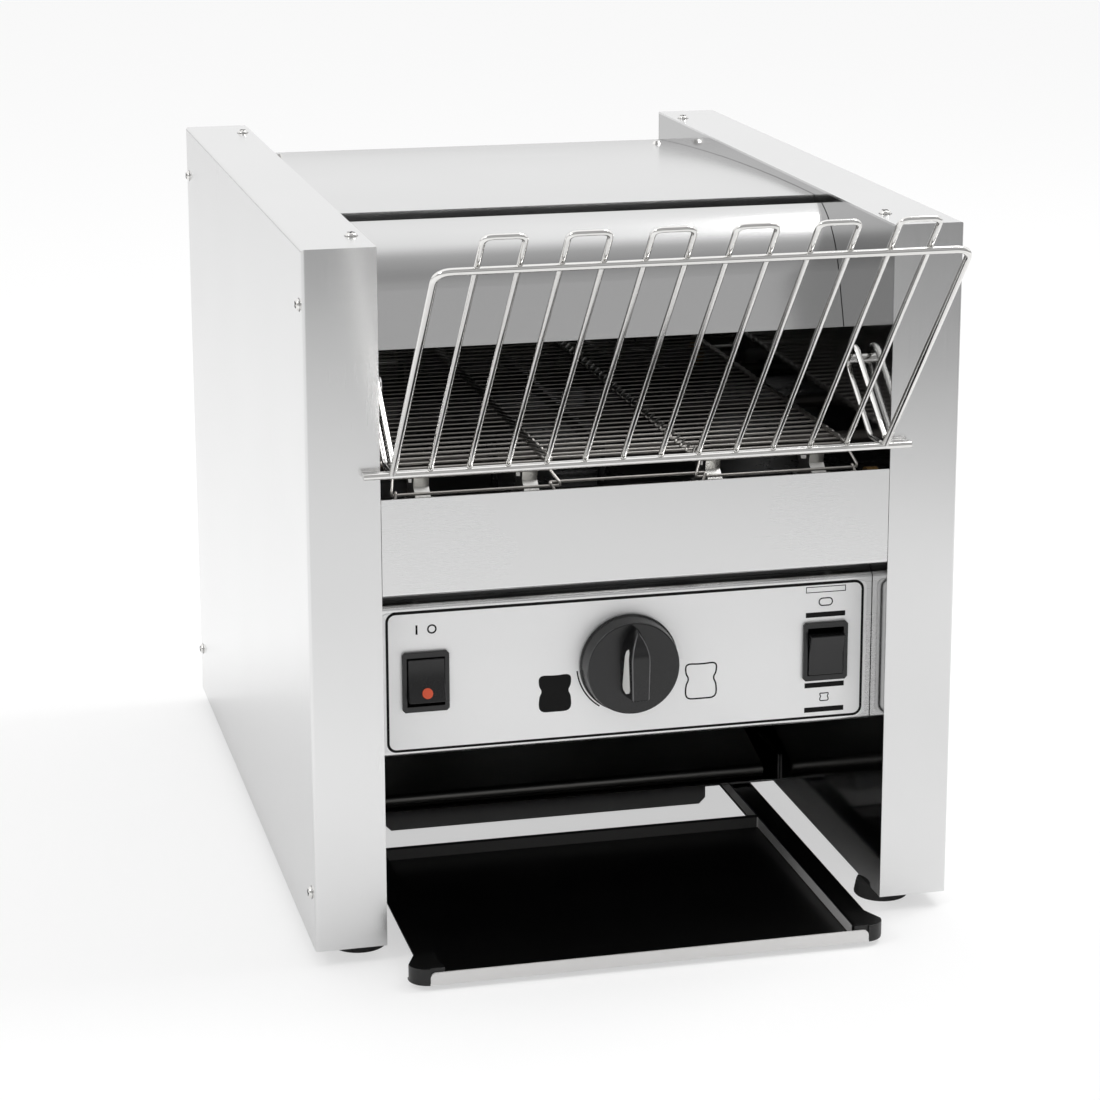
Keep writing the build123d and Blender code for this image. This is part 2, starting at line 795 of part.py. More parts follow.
def marker():
    """The white inlay in the grip's left flank: a drop that widens downwards."""
    drop = make_face(Polyline(*[(along, knob_depth + up) for along, up in marker_outline], close=True))
    skin = grip_block(0) - grip_block(marker_depth)
    return skin & side_section(drop, -knob_base_radius, -marker_depth)


def knob():
    """The regulator knob: a skirted disc with a pointer grip, its inlay and its spindle."""
    back = overlay_y - knob_gap
    side_radius = knob_base_radius - knob_skirt_step
    side_height = knob_depth - knob_skirt
    lean = degrees(atan2(side_radius - knob_front_radius, side_height))
    body = extrude(RegularPolygon(knob_base_radius, knob_sides), amount=knob_skirt)
    drum = extrude(RegularPolygon(side_radius, knob_sides), amount=side_height, taper=lean)
    body += Pos(0, 0, knob_skirt) * drum
    inlay = marker()
    body += grip_block(0)
    body -= inlay
    body -= Pos(0, 0, spindle_socket / 2) * Cylinder(spindle_radius, spindle_socket + 2 * knob_gap)
    place = Plane(origin=(0, back, knob_z), z_dir=(0, -1, 0), x_dir=(1, 0, 0))
    reach = back - spindle_socket + knob_gap
    spindle = disc_y(reach, panel_face_y + regulator_depth, 0, knob_z, spindle_radius)
    return {"knob": place * body, "knob_marker": place * inlay, "knob_spindle": spindle}


def regulator():
    """The speed regulator behind the panel, with the neck that carries the spindle."""
    half = regulator_size / 2
    front = panel_face_y + sheet
    rear = front + regulator_depth
    body = block(-half, half, front, rear, knob_z - half, knob_z + half)
    neck = prism_y(overlay_y, front, 0, knob_z, regulator_neck_radius, regulator_neck_sides)
    bore = disc_y(overlay_y - overshoot, rear + overshoot, 0, knob_z, spindle_radius + spindle_clearance)
    return body + neck - bore


def control_parts():
    """Everything that the front plates and controls are made of."""
    parts = {
        "fascia": fascia(),
        "control_panel": control_panel(),
        "control_overlay": control_overlay(),
        "control_box": control_box(),
        "panel_screws": [screw(p, o, panel_screw_head_radius) for p, o in panel_screw_points()],
        "power_switch_housing": switch_body(-1),
        "power_rocker": rocker(-1, -rocker_tilt_angle),
        "power_lamp": power_lamp(-rocker_tilt_angle),
        "mode_switch_housing": switch_body(1),
        "mode_rocker": rocker(1, rocker_tilt_angle),
        "speed_regulator": regulator(),
    }
    parts.update(knob())
    return parts


# ---------------------------------------------------------------- belt and drive

def belt_point(s):
    """Place and outward direction on the belt's middle line at length s from the front top."""
    s %= belt_loop
    half_turn = pi * belt_radius
    if s < belt_gap:
        return front_shaft_y + s, belt_top_z, 90.0
    s -= belt_gap
    if s < half_turn:
        angle = 90.0 - degrees(s / belt_radius)
        return belt_round(rear_shaft_y, angle)
    s -= half_turn
    if s < belt_gap:
        return rear_shaft_y - s, shaft_z - belt_radius, -90.0
    angle = -90.0 - degrees((s - belt_gap) / belt_radius)
    return belt_round(front_shaft_y, angle)


def belt_round(y, angle):
    """A place on one of the belt's two round ends."""
    turn = radians(angle)
    return y + belt_radius * cos(turn), shaft_z + belt_radius * sin(turn), angle


def strand():
    """One belt wire, flat on its pitch line: x across, y forwards along the belt, z outwards.

    The wire runs straight across each space. At each joint it doubles back in a raised bend that
    steps forward by one pitch, so that it hooks behind the end of the next wire's run, and at
    each edge a raised leg slants forward over the next wire.
    """
    r = wire_radius
    near = -belt_pitch / 2 - r - wire_side_gap
    rows = [near, -near, near]
    edges = [lane_left + space_width * n for n in range(belt_spaces + 1)]
    solid = None
    for space, y in enumerate(rows):
        x0 = edges[space] - (belt_edge_loop if space == 0 else belt_bend_half)
        x1 = edges[space + 1] + (belt_edge_loop if space == belt_spaces - 1 else belt_bend_half)
        run = block(x0, x1, y - r, y + r, -r, r)
        solid = run if solid is None else solid + run
    bend = belt_bend_half - r
    for x, y in zip(edges[1:-1], rows):
        solid += bend_bar((x - bend, -y), (x + bend, y)) if y > 0 else bend_bar((x + bend, y), (x - bend, -y))
    for x, inward in ((edges[0] - belt_edge_loop + r, 1), (edges[-1] + belt_edge_loop - r, -1)):
        solid += bend_bar((x, near), (x + inward * belt_edge_slant, near + belt_pitch))
    return solid


def bend_bar(a, b):
    """A raised bar from above one wire to above the wire ahead of it."""
    r = wire_radius
    outline = Polyline(
        (a[0] - r, a[1] - r), (a[0] + r, a[1] - r), (b[0] + r, b[1] + r), (b[0] - r, b[1] + r), close=True
    )
    return Pos(0, 0, r) * extrude(make_face(outline), amount=2 * r)


def belt():
    """The wire belt: every strand set round the loop at the same pitch."""
    one = strand()
    wires = []
    for index in range(strand_count):
        y, z, angle = belt_point((index + 0.5) * belt_pitch)
        turn = radians(angle)
        outward = Vector(0, cos(turn), sin(turn))
        place = Plane(origin=(0, y, z), x_dir=(1, 0, 0), z_dir=outward)
        wires.append(place * one)
    return wires


def sprocket_places():
    """X of the four sprockets, each beside a line of joints as the belt's tension asks."""
    joints = [lane_left + space_width * n for n in range(belt_spaces + 1)]
    sides = (1, -1, 1, -1)
    return [x + side * sprocket_joint_offset for x, side in zip(joints, sides)]


def toothed(teeth, root, base, tip, land):
    """The outline of a wheel whose straight-sided teeth are a base wide below and a land above."""
    points = []
    for n in range(teeth):
        for radius, half in ((root, -base / 2), (tip, -land / 2), (tip, land / 2), (root, base / 2)):
            turn = 2 * pi * n / teeth + half / radius
            points.append((radius * cos(turn), radius * sin(turn)))
    return make_face(Polyline(*points, close=True))


def belt_sprocket(x, y):
    """A sprocket with square-ended teeth whose tips stay just inside the wires."""
    width = sprocket_tooth_width
    wheel = toothed(sprocket_teeth, sprocket_root_radius, width, sprocket_tip_radius, width)
    wheel -= RegularPolygon(shaft_radius, sprocket_bore_sides, major_radius=False)
    start = x - sprocket_width / 2
    return side_section(Pos(y, shaft_z) * wheel, start, start + sprocket_width)


def shaft(y, right_end):
    """A belt shaft from bush to bush."""
    return disc_x(-wall_x - sheet - shaft_end_reach, right_end, y, shaft_z, shaft_radius)


def bush(side, y):
    """A flanged bronze bush pressed into an inner wall from outside."""
    start = side * (wall_x - bush_inner_reach)
    wall_face = side * (wall_x + sheet)
    end = side * (wall_x + sheet + bush_flange_thickness)
    sleeve = prism_x(start, end, y, shaft_z, bush_radius, bush_sides)
    flange = prism_x(wall_face, end, y, shaft_z, bush_flange_radius, bush_sides)
    bore = disc_x(start - side, end + side, y, shaft_z, shaft_radius + shaft_clearance)
    return sleeve + flange - bore


def drive_sprocket(y, z, bore):
    """A small chain sprocket with a hub, in the right column."""
    wheel = toothed(
        drive_sprocket_teeth, drive_sprocket_root, drive_tooth_base, drive_sprocket_radius, drive_tooth_land
    )
    start, end = drive_x, drive_x + drive_sprocket_width + drive_hub_reach
    body = side_section(Pos(y, z) * wheel, start, start + drive_sprocket_width)
    body += prism_x(start, end, y, z, drive_hub_radius, bush_sides)
    return body - prism_x(start - overshoot, end + overshoot, y, z, bore, sprocket_bore_sides, outside=True)


def chain_outline(radius):
    """The outline of a loop that passes round both drive sprockets."""
    edges = []
    for y, z in ((front_shaft_y, shaft_z), (motor_y, motor_z)):
        edges += (Pos(y, z) * RegularPolygon(radius, chain_sides)).edges()
    return make_hull(edges)


def drive_chain():
    """The drive chain, drawn as the closed band that its links fill."""
    inner = drive_sprocket_radius + chain_gap
    band = chain_outline(inner + chain_thickness) - chain_outline(inner)
    return side_section(band, drive_x, drive_x + drive_sprocket_width)


def gear_motor():
    """The gear motor behind the control panel, bolted to the right inner wall."""
    inner = inside_half
    box_end = inner - gearbox_length
    low = motor_z - gearbox_drop
    half = gearbox_width / 2
    gearbox = block(box_end, inner, motor_y - half, motor_y + half, low, low + gearbox_height)
    gearbox = chamfer(gearbox.edges().filter_by(Axis.X), gearbox_chamfer)
    can_end = box_end - motor_can_length
    y, z = motor_y - motor_can_setback, motor_z - motor_can_drop
    can = prism_x(can_end, box_end, y, z, motor_can_radius, motor_sides)
    band = prism_x(can_end + motor_band_inset, box_end - motor_band_inset, y, z,
                   motor_can_radius + motor_band_rise, motor_sides)
    bore = disc_x(inner - motor_shaft_depth - overshoot, inner + overshoot, motor_y, motor_z,
                  motor_shaft_radius + shaft_clearance)
    return gearbox + can + band - bore


def drive_parts():
    """Belt, shafts, sprockets, bushes, chain and motor."""
    ends = drive_x + drive_sprocket_width + drive_hub_reach
    plain_end = wall_x + sheet + shaft_end_reach
    motor_spindle = disc_x(inside_half - motor_shaft_depth, ends, motor_y, motor_z, motor_shaft_radius)
    return {
        "wire_belt": belt(),
        "front_shaft": shaft(front_shaft_y, ends),
        "front_sprockets": [belt_sprocket(x, front_shaft_y) for x in sprocket_places()],
        "rear_shaft": shaft(rear_shaft_y, plain_end),
        "rear_sprockets": [belt_sprocket(x, rear_shaft_y) for x in sprocket_places()],
        "shaft_bushes": [bush(s, y) for s in (-1, 1) for y in (front_shaft_y, rear_shaft_y)],
        "driven_sprocket": drive_sprocket(front_shaft_y, shaft_z, shaft_radius),
        "motor_sprocket": drive_sprocket(motor_y, motor_z, motor_shaft_radius),
        "motor_spindle": motor_spindle,
        "drive_chain": drive_chain(),
        "gear_motor": gear_motor(),
    }


# ---------------------------------------------------------------- heating

def heater(y, z):
    """A sheathed heating element that spans both inner walls and ends against its caps."""
    reach = wall_x + sheet
    return prism_x(-reach, reach, y, z, heater_radius, heater_sides)


def heater_cap(side, y, z):
    """A ceramic end cap, seated on the outside of an inner wall."""
    x0 = side * (wall_x + sheet)
    return prism_x(x0, x0 + side * heater_cap_length, y, z, heater_cap_radius, heater_cap_sides)


def belt_rail(offset_x):
    """A rail that carries the upper run, on a foot at each end."""
    top = belt_top_z - wire_radius - rail_gap
    y0, y1 = lower_reflector_front_y + rail_inset, lower_reflector_rear_y - rail_inset
    floor, under = lower_reflector_z + sheet, top - rail_height
    outline = Polyline(
        (y0, floor), (y0, top), (y1, top), (y1, floor), (y1 - rail_foot, floor), (y1 - rail_foot, under),
        (y0 + rail_foot, under), (y0 + rail_foot, floor), (y0, floor),
    )
    x = lane_x + offset_x - rail_thickness / 2
    return side_section(make_face(outline), x, x + rail_thickness)


def reflector(y0, y1, z, lip):
    """A flat reflector with its front and rear edges folded by lip, up or down."""
    path = Polyline((y0, z + lip), (y0, z), (y1, z), (y1, z + lip))
    side = Side.RIGHT if lip < 0 else Side.LEFT
    return folded(path, -inside_half, inside_half, side)


def guard_wires():
    """Straight wires under the upper heaters that keep bread off them."""
    y0, y1 = upper_reflector_front_y + sheet, upper_reflector_rear_y - sheet
    places = spread(lane_x - belt_half_width, lane_x + belt_half_width, guard_inset, guard_count)
    return [prism_y(y0, y1, x, guard_top_z - guard_radius, guard_radius, 6) for x in places]


def heating_parts():
    """Heaters, their caps, reflectors, guards and the rails under the belt."""
    upper, lower = heater_places()
    offset_x = rail_spread * space_width
    return {
        "upper_heaters": [heater(y, z) for y, z in upper],
        "lower_heaters": [heater(y, z) for y, z in lower],
        "heater_end_caps": [heater_cap(s, y, z) for s in (-1, 1) for y, z in upper + lower],
        "upper_reflector": reflector(
            upper_reflector_front_y, upper_reflector_rear_y, upper_reflector_z, -upper_reflector_lip
        ),
        "lower_reflector": reflector(
            lower_reflector_front_y, lower_reflector_rear_y, lower_reflector_z, lower_reflector_lip
        ),
        "heater_guard": guard_wires(),
        "belt_rails": [belt_rail(x) for x in (-offset_x, 0, offset_x)],
    }


# ---------------------------------------------------------------- chute, base and tray

def chute():
    """The discharge chute: a rolled front edge, a gentle slope and a long rear curve."""
    slope = chute_slope_angle
    centre_z = base_pan_z + sheet + sheet_gap + chute_roll_radius
    top = (chute_top_y, centre_z + chute_roll_radius * cos(radians(slope)))
    roll = CenterArc((chute_roll_y, centre_z), chute_roll_radius, 90 + slope, chute_roll_wrap_angle)
    run = PolarLine(top, chute_straight, slope)
    curve = JernArc(run @ 1, run % 1, chute_bend_radius, chute_end_angle - slope)
    end = PolarLine(curve @ 1, chute_end_straight, chute_end_angle)
    path = Wire([roll.edge(), run.edge(), curve.edge(), end.edge()])
    x0, x1 = lane_x - chute_half_width, lane_x + chute_half_width
    face = make_face(offset(path, amount=sheet, side=Side.LEFT))
    return side_section(face, x0, x1)


def base_pan():
    """The bottom pan: side flanges turned up to the walls and a short apron turned down."""
    y0, y1 = base_pan_front_y, back_y - sheet_gap
    z0, z1 = base_pan_z, base_pan_z + sheet
    flange_end = y1 - back_return - overshoot
    pan = block(-inside_half, inside_half, y0, y1, z0, z1)
    for side in (-1, 1):
        edge = side * inside_half
        pan += block(*sorted((edge, edge - side * sheet)), y0, flange_end, z1, z1 + base_side_flange)
    x0, x1 = lane_x - base_apron_half, lane_x + base_apron_half
    apron = block(x0, x1, y0, y0 + sheet, z0 - base_apron_drop, z0)
    return pan + chamfer(apron.edges().filter_by(Axis.Y).sort_by(Axis.Z)[:2], base_apron_corner)


def tray():
    """The toast tray: a flat floor with rounded front corners, low walls, outward side
    flanges that run on back as arms, and a short front lip."""
    z0, z1 = tray_floor_z, tray_floor_z + sheet
    y0, y1 = tray_front_y, tray_back_y
    half = tray_inner_half + sheet
    left, right = lane_x - half, lane_x + half
    floor = block(left, right, y0 + tray_apron_depth, y1, z0, z1)
    apron = block(lane_x - tray_apron_half, lane_x + tray_apron_half, y0, y0 + tray_apron_depth, z0, z1)
    body = floor + fillet(apron.edges().filter_by(Axis.Z).sort_by(Axis.Y)[:2], tray_corner)
    wall_y0 = y0 + tray_apron_depth / 2
    wall_top = z0 + tray_wall_height
    for side in (-1, 1):
        inner = lane_x + side * tray_inner_half
        outer = inner + side * sheet
        body += block(*sorted((inner, outer)), wall_y0, tray_arm_end_y, z0, wall_top)
        flange = block(*sorted((inner, inner + side * tray_flange)), wall_y0, tray_arm_end_y,
                       wall_top - sheet, wall_top)
        tip = flange.edges().filter_by(Axis.Z).sort_by(Axis.Y)[:2].sort_by(Axis.X)
        body += fillet(tip[-1:] if side > 0 else tip[:1], tray_arm_corner)
    body += block(left, right, y1 - sheet, y1, z0, wall_top)
    lip = block(lane_x - tray_lip_half, lane_x + tray_lip_half, y0, y0 + sheet, z0, z0 + tray_lip_height)
    return body + fillet(lip.edges().filter_by(Axis.Y).sort_by(Axis.Z)[-2:], tray_lip_corner)


def tray_guide(side):
    """An angle under the base pan that carries one arm of the tray by its flange."""
    web_in = lane_x + side * (tray_inner_half + tray_flange + tray_guide_side_gap)
    web_out = web_in + side * sheet
    leg_in = lane_x + side * (tray_inner_half + sheet + tray_guide_clear)
    top = tray_floor_z + tray_wall_height - sheet - tray_guide_gap
    y0, y1 = tray_guide_start_y, tray_arm_end_y
    web = block(*sorted((web_in, web_out)), y0, y1, top - sheet, base_pan_z)
    return web + block(*sorted((leg_in, web_out)), y0, y1, top - sheet, top)


# ---------------------------------------------------------------- loading rack

def slat_line(x, reach):
    """Ends of a slat's straight leg, on the inner side of the frame's plane."""
    lift = rack_frame_radius + rack_slat_radius
    foot_y = front_rod_y + lift * rack_dir[1]
    foot_z = rack_rod_z - lift * rack_dir[0]
    ends = (rack_slat_start, rack_rise + reach)
    return [(x, foot_y + run * rack_dir[0], foot_z + run * rack_dir[1]) for run in ends]


def slat_pair(x0, x1):
    """Two slats bent from one wire, joined by a loop above the top rail."""
    foot_a, top_a = slat_line(x0, rack_loop_reach)
    foot_b, top_b = slat_line(x1, rack_loop_reach)
    return rod(eased([foot_a, top_a, top_b, foot_b], rack_loop_radius), rack_slat_radius)


def rack_frame():
    """The rack's outer wire: two side members and the top rail."""
    start = (front_rod_y + rack_frame_radius * rack_dir[0], rack_rod_z + rack_frame_radius * rack_dir[1])
    points = [
        (-rack_half_width, *start), (-rack_half_width, rack_rail_y, rack_rail_z),
        (rack_half_width, rack_rail_y, rack_rail_z), (rack_half_width, *start),
    ]
    return rod(eased(points, rack_corner_radius), rack_frame_radius)


def rack_hook(side):
    """A side hairpin that hangs over the wall's peg and carries the rack."""
    x = side * (rack_half_width - rack_hook_inset)
    step = 180 / hook_bend_steps
    reach = hook_half_gap / cos(radians(step / 2))
    bend = []
    for n in range(hook_bend_steps):
        turn = radians(hook_slope_angle - 90 + step * (n + 0.5))
        bend.append((x, hook_bend_y + reach * cos(turn), hook_bend_z + reach * sin(turn)))
    drop = (bend[0][2] - rack_rod_z) / hook_dir[1]
    knee = (x, bend[0][1] - drop * hook_dir[0], rack_rod_z)
    foot = (x, rear_rod_y + rack_rear_rod_radius, rack_rod_z)
    lower = eased([foot, knee, bend[0]], hook_knee_radius)[:-1]
    return rod([*lower, *bend, (x, *frame_crossing(bend[-1][1:]))], rack_hook_radius)


def frame_crossing(start):
    """Where the hairpin's upper leg, drawn back from its start, meets the rack's side member."""
    ny, nz = rack_dir[1], -rack_dir[0]
    lift = rack_frame_radius + hook_weld_lift
    away = (start[0] - front_rod_y) * ny + (start[1] - rack_rod_z) * nz - lift
    run = away / (hook_dir[0] * ny + hook_dir[1] * nz)
    return start[0] - run * hook_dir[0], start[1] - run * hook_dir[1]


def peg(side):
    """The peg on an inner wall that a side hairpin hangs on."""
    x_in = side * (rack_half_width - rack_hook_inset - rack_hook_radius - peg_reach)
    head_end = x_in - side * peg_head_thickness
    body = disc_x(side * (wall_x + sheet), x_in, peg_y, peg_z, peg_radius)
    return body + prism_x(head_end, x_in, peg_y, peg_z, peg_head_radius, peg_head_sides)


def rack_parts():
    """The loading rack and the pegs that it hangs on."""
    pitch = 2 * rack_half_width / (rack_slat_count + 1)
    slats = []
    for n in range(1, rack_slat_count, 2):
        slats.append(slat_pair(-rack_half_width + n * pitch, -rack_half_width + (n + 1) * pitch))
    reach = rack_rod_half_length
    return {
        "rack_frame": rack_frame(),
        "rack_front_rod": disc_x(-reach, reach, front_rod_y, rack_rod_z, rack_frame_radius),
        "rack_rear_rod": disc_x(-reach, reach, rear_rod_y, rack_rod_z, rack_rear_rod_radius),
        "rack_slats": slats,
        "rack_hooks": [rack_hook(-1), rack_hook(1)],
        "rack_pegs": [peg(-1), peg(1)],
    }


def all_parts():
    """Every node of the toaster, by name."""
    parts = case_parts()
    parts["back_panel"] = back_panel()
    parts["cable_gland"] = gland()
    parts["top_cover"] = top_cover()
    parts["cover_screws"] = [screw(p, o) for p, o in cover_screw_points()]
    parts["front_hood"] = hood()
    parts.update(control_parts())
    parts.update(drive_parts())
    parts.update(heating_parts())
    parts["discharge_chute"] = chute()
    parts["base_pan"] = base_pan()
    parts["toast_tray"] = tray()
    parts["tray_guides"] = [tray_guide(-1), tray_guide(1)]
    parts.update(rack_parts())
    return parts


os.makedirs("parts", exist_ok=True)
front_most_y = slat_line(0, rack_loop_reach)[1][1] - rack_slat_radius
centre_shift = -(front_most_y + rear_most_y) / 2
for name, shape in all_parts().items():
    solids = shape if isinstance(shape, list) else [shape]
    moved = [Pos(0, centre_shift, 0) * solid for one in solids for solid in one.solids()]
    node = Compound(children=moved) if len(moved) > 1 else moved[0]
    node.label = name
    export_step(node, f"parts/{name}.step")
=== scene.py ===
"""Looks for a conveyor toaster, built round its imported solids.

Sizes are millimetres in the drawing frame: X across from the middle, Y back from the front of the
side columns, Z up from the counter. Each finished mesh is put in metres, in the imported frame.
"""

import logging
import re
from collections.abc import Iterable, Sequence
from dataclasses import dataclass, field
from enum import Enum
from math import cos, pi, radians, sin

import bmesh
import bpy
from bmesh.types import BMesh, BMVert
from bpy.types import Material, Node, NodeSocket, NodeTree
from mathutils import Matrix, Vector


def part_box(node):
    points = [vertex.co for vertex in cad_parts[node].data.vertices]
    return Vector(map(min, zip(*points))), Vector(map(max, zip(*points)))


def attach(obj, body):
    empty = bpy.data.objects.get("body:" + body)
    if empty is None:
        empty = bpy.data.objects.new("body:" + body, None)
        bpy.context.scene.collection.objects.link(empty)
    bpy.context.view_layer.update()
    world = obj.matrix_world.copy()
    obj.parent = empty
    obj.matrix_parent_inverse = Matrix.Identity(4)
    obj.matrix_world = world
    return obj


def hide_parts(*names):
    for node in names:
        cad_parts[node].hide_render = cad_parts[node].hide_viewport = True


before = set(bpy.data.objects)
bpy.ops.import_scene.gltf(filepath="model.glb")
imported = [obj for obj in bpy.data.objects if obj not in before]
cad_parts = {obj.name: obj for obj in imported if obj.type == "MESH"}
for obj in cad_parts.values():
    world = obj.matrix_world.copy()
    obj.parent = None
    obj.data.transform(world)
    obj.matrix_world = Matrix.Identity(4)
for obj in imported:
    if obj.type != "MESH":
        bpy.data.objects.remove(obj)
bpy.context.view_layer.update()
MM = 0.001
COLUMN_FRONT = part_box("side_panel_left")[0].y
ROOT = "toaster_body"
MERGE_MM = 0.001
MERGE_SHARE = 0.01
PACKED_MERGE_M = 2e-6
FLAT_DEG = 1.0
BEND_SHARE = 0.49
Source = Node | NodeSocket
log = logging.getLogger("toaster")


# ------------------------------------------------------------------ finishes


def linear(hex_colour: str) -> tuple[float, float, float, float]:
    """Turns an sRGB hex colour into the linear values that a shader takes.

    Args:
        hex_colour: Six hexadecimal digits after a hash sign.

    Returns:
        Linear red, green, blue and an alpha of 1.
    """
    parts = [int(hex_colour[i : i + 2], 16) / 255 for i in (1, 3, 5)]
    red, green, blue = [c / 12.92 if c <= 0.04045 else ((c + 0.055) / 1.055) ** 2.4 for c in parts]
    return red, green, blue, 1.0


def feed(tree: NodeTree, node: Node, links: dict[int | str, Source]) -> None:
    """Links sockets, or nodes that stand for their first output, to the inputs of a node."""
    for key, source in links.items():
        tree.links.new(source.outputs[0] if isinstance(source, Node) else source, node.inputs[key])


def add(tree: NodeTree, kind: str, settings: dict, links: dict[int | str, Source]) -> Node:
    """Adds one node with its settings and links.

    Args:
        tree: The node tree that gets the node.
        kind: The node's type name, without its ShaderNode prefix.
        settings: Values by socket name or number, or by the node's own property.
        links: What feeds its inputs, as feed takes it.

    Returns:
        The new node.
    """
    node = tree.nodes.new("ShaderNode" + kind)
    for key, value in settings.items():
        if isinstance(key, str) and hasattr(node, key):
            setattr(node, key, value)
        else:
            node.inputs[key].default_value = value
    feed(tree, node, links)
    return node


def combined(tree: NodeTree, operation: str, *masks: Source) -> Source:
    """Makes one mask of several.

    Args:
        tree: The node tree.
        operation: MAXIMUM for where any mask is 1, or MULTIPLY for where all are.
        masks: The masks.

    Returns:
        The joined mask.
    """
    whole = masks[0]
    for mask in masks[1:]:
        whole = add(tree, "Math", {"operation": operation}, {0: whole, 1: mask})
    return whole


def covered(tree: NodeTree, shader: Node, mask: Source, colour: Source, coat: str) -> NodeSocket:
    """Paints a dark colour over metal where a mask is 1, as painted shade.

    Args:
        tree: The material's node tree.
        shader: Its principled shader, whose metallic value the mask then drives.
        mask: The painted shade's mask.
        colour: The metal's colour.
        coat: The painted shade's hex colour.

    Returns:
        The colour with the painted shade in it.
    """
    bare = shader.inputs["Metallic"].default_value
    metal = add(tree, "Math", {"operation": "MULTIPLY_ADD", 1: -bare, 2: bare}, {0: mask})
    feed(tree, shader, {"Metallic": metal})
    settings = {"data_type": "RGBA", 7: linear(coat)}
    return add(tree, "Mix", settings, {0: mask, 6: colour}).outputs[2]


class Grain(Enum):
    """How a finish's grain lies, as its share of length along X, Y and Z."""

    EVEN = (1.0, 1.0, 1.0)
    UPRIGHT = (1.0, 1.0, 120.0)
    ACROSS = (120.0, 1.0, 1.0)


@dataclass(frozen=True)
class Finish:
    """A surface finish: constant shader values, and a grain that varies tone, gloss and height."""

    colour: str = "#808080"
    metallic: float = 0.0
    roughness: float = 0.5
    grain: Grain = Grain.EVEN
    grain_mm: float = 1.0
    grain_share: float = 0.6
    grain_detail: float = 3.0
    smear_mm: float = 90.0
    smear_detail: float = 2.0
    noise_reach: tuple[float, float] = (0.45, 1.15)
    tone_swing: float = 0.06
    gloss_swing: float = 0.06
    bump_mm: float = 0.0
    bump_strength: float = 0.6
    coat: float = 0.0
    ior: float = 1.5
    glow: float = 0.0

    @property
    def name(self) -> str:
        """The material's name: the class's own, in small letters with underscores."""
        return re.sub(r"\B([A-Z])", r"_\1", type(self).__name__).lower()

    def make(self) -> Material:
        """Builds the finish's material once.

        Returns:
            The new material, or the one that was built before.
        """
        made = bpy.data.materials.get(self.name)
        if made:
            return made
        material = bpy.data.materials.new(self.name)
        material.use_nodes = True
        tree = material.node_tree
        shader = tree.nodes["Principled BSDF"]
        for socket, value in (
            ("Metallic", self.metallic), ("IOR", self.ior), ("Coat Weight", self.coat),
            ("Emission Color", linear(self.colour)), ("Emission Strength", self.glow),
        ):
            shader.inputs[socket].default_value = value
        place = add(tree, "TexCoord", {}, {}).outputs["Object"]
        scale = [1 / (self.grain_mm * MM * share) for share in self.grain.value]
        spread = add(tree, "Mapping", {"Scale": scale}, {"Vector": place})
        sharp = {"Scale": 1.0, "Detail": self.grain_detail}
        fine = add(tree, "TexNoise", sharp, {"Vector": spread})
        coarse = {"Scale": 1 / (self.smear_mm * MM), "Detail": self.smear_detail}
        smear = add(tree, "TexNoise", coarse, {"Vector": place})
        weighed = {"operation": "MULTIPLY_ADD", 1: self.grain_share}
        noise = add(tree, "Math", weighed, {0: fine, 2: smear})
        low, high = self.noise_reach
        tone, gloss = (
            add(
                tree, "MapRange",
                {"From Min": low, "From Max": high, "To Min": mid - swing, "To Max": mid + swing},
                {"Value": noise},
            )
            for mid, swing in ((1, self.tone_swing), (self.roughness, self.gloss_swing))
        )
        dyed = {"operation": "SCALE", 0: linear(self.colour)[:3]}
        shade = add(tree, "VectorMath", dyed, {"Scale": tone})
        colour = self.patch(tree, place, shade, shader)
        feed(tree, shader, {"Base Color": colour, "Roughness": gloss})
        if self.bump_mm:
            depth = {"Strength": self.bump_strength, "Distance": self.bump_mm * MM}
            feed(tree, shader, {"Normal": add(tree, "Bump", depth, {"Height": fine})})
        return material

    def patch(self, tree: NodeTree, place: NodeSocket, colour: Source, shader: Node) -> Source:
        """Lets a finish change its colour in places; a plain one returns the colour as it is."""
        return colour


@dataclass(frozen=True)
class SatinStainless(Finish):
    """Folded outer sheets."""

    # 304 sheet, finely brushed upright: a soft pale sheen that runs into long gradients.
    # Its scratches are finer than a pixel, so they are drawn 0.5 mm wide to show at all.
    colour: str = "#dcdcdc"
    metallic: float = 1.0
    roughness: float = 0.24
    grain: Grain = Grain.UPRIGHT
    grain_mm: float = 0.5
    tone_swing: float = 0.03
    gloss_swing: float = 0.04


@dataclass(frozen=True)
class BrightStainless(Finish):
    """Inner walls, base pan and tray guides."""

    # Bright annealed sheet: nearly a mirror, with a slight waviness in what it shows.
    colour: str = "#b8b8b8"
    metallic: float = 1.0
    roughness: float = 0.09
    grain_mm: float = 25.0
    tone_swing: float = 0.02
    gloss_swing: float = 0.03


@dataclass(frozen=True)
class HoodStainless(BrightStainless):
    """The front hood and the rear cover."""

    # Bright sheet rolled to a curve and lightly hazed by polishing: a blurred mirror.
    # The haze lines are too fine to show, so they are drawn 0.6 mm wide.
    colour: str = "#cdcdcd"
    roughness: float = 0.2
    grain: Grain = Grain.ACROSS
    grain_mm: float = 0.6


@dataclass(frozen=True)
class ChuteStainless(BrightStainless):
    """The discharge chute."""

    # Bright sheet, painted a deep brown-black mirror: painted reflection of the dark tray and
    # casing round it.
    colour: str = "#6a6967"
    roughness: float = 0.34


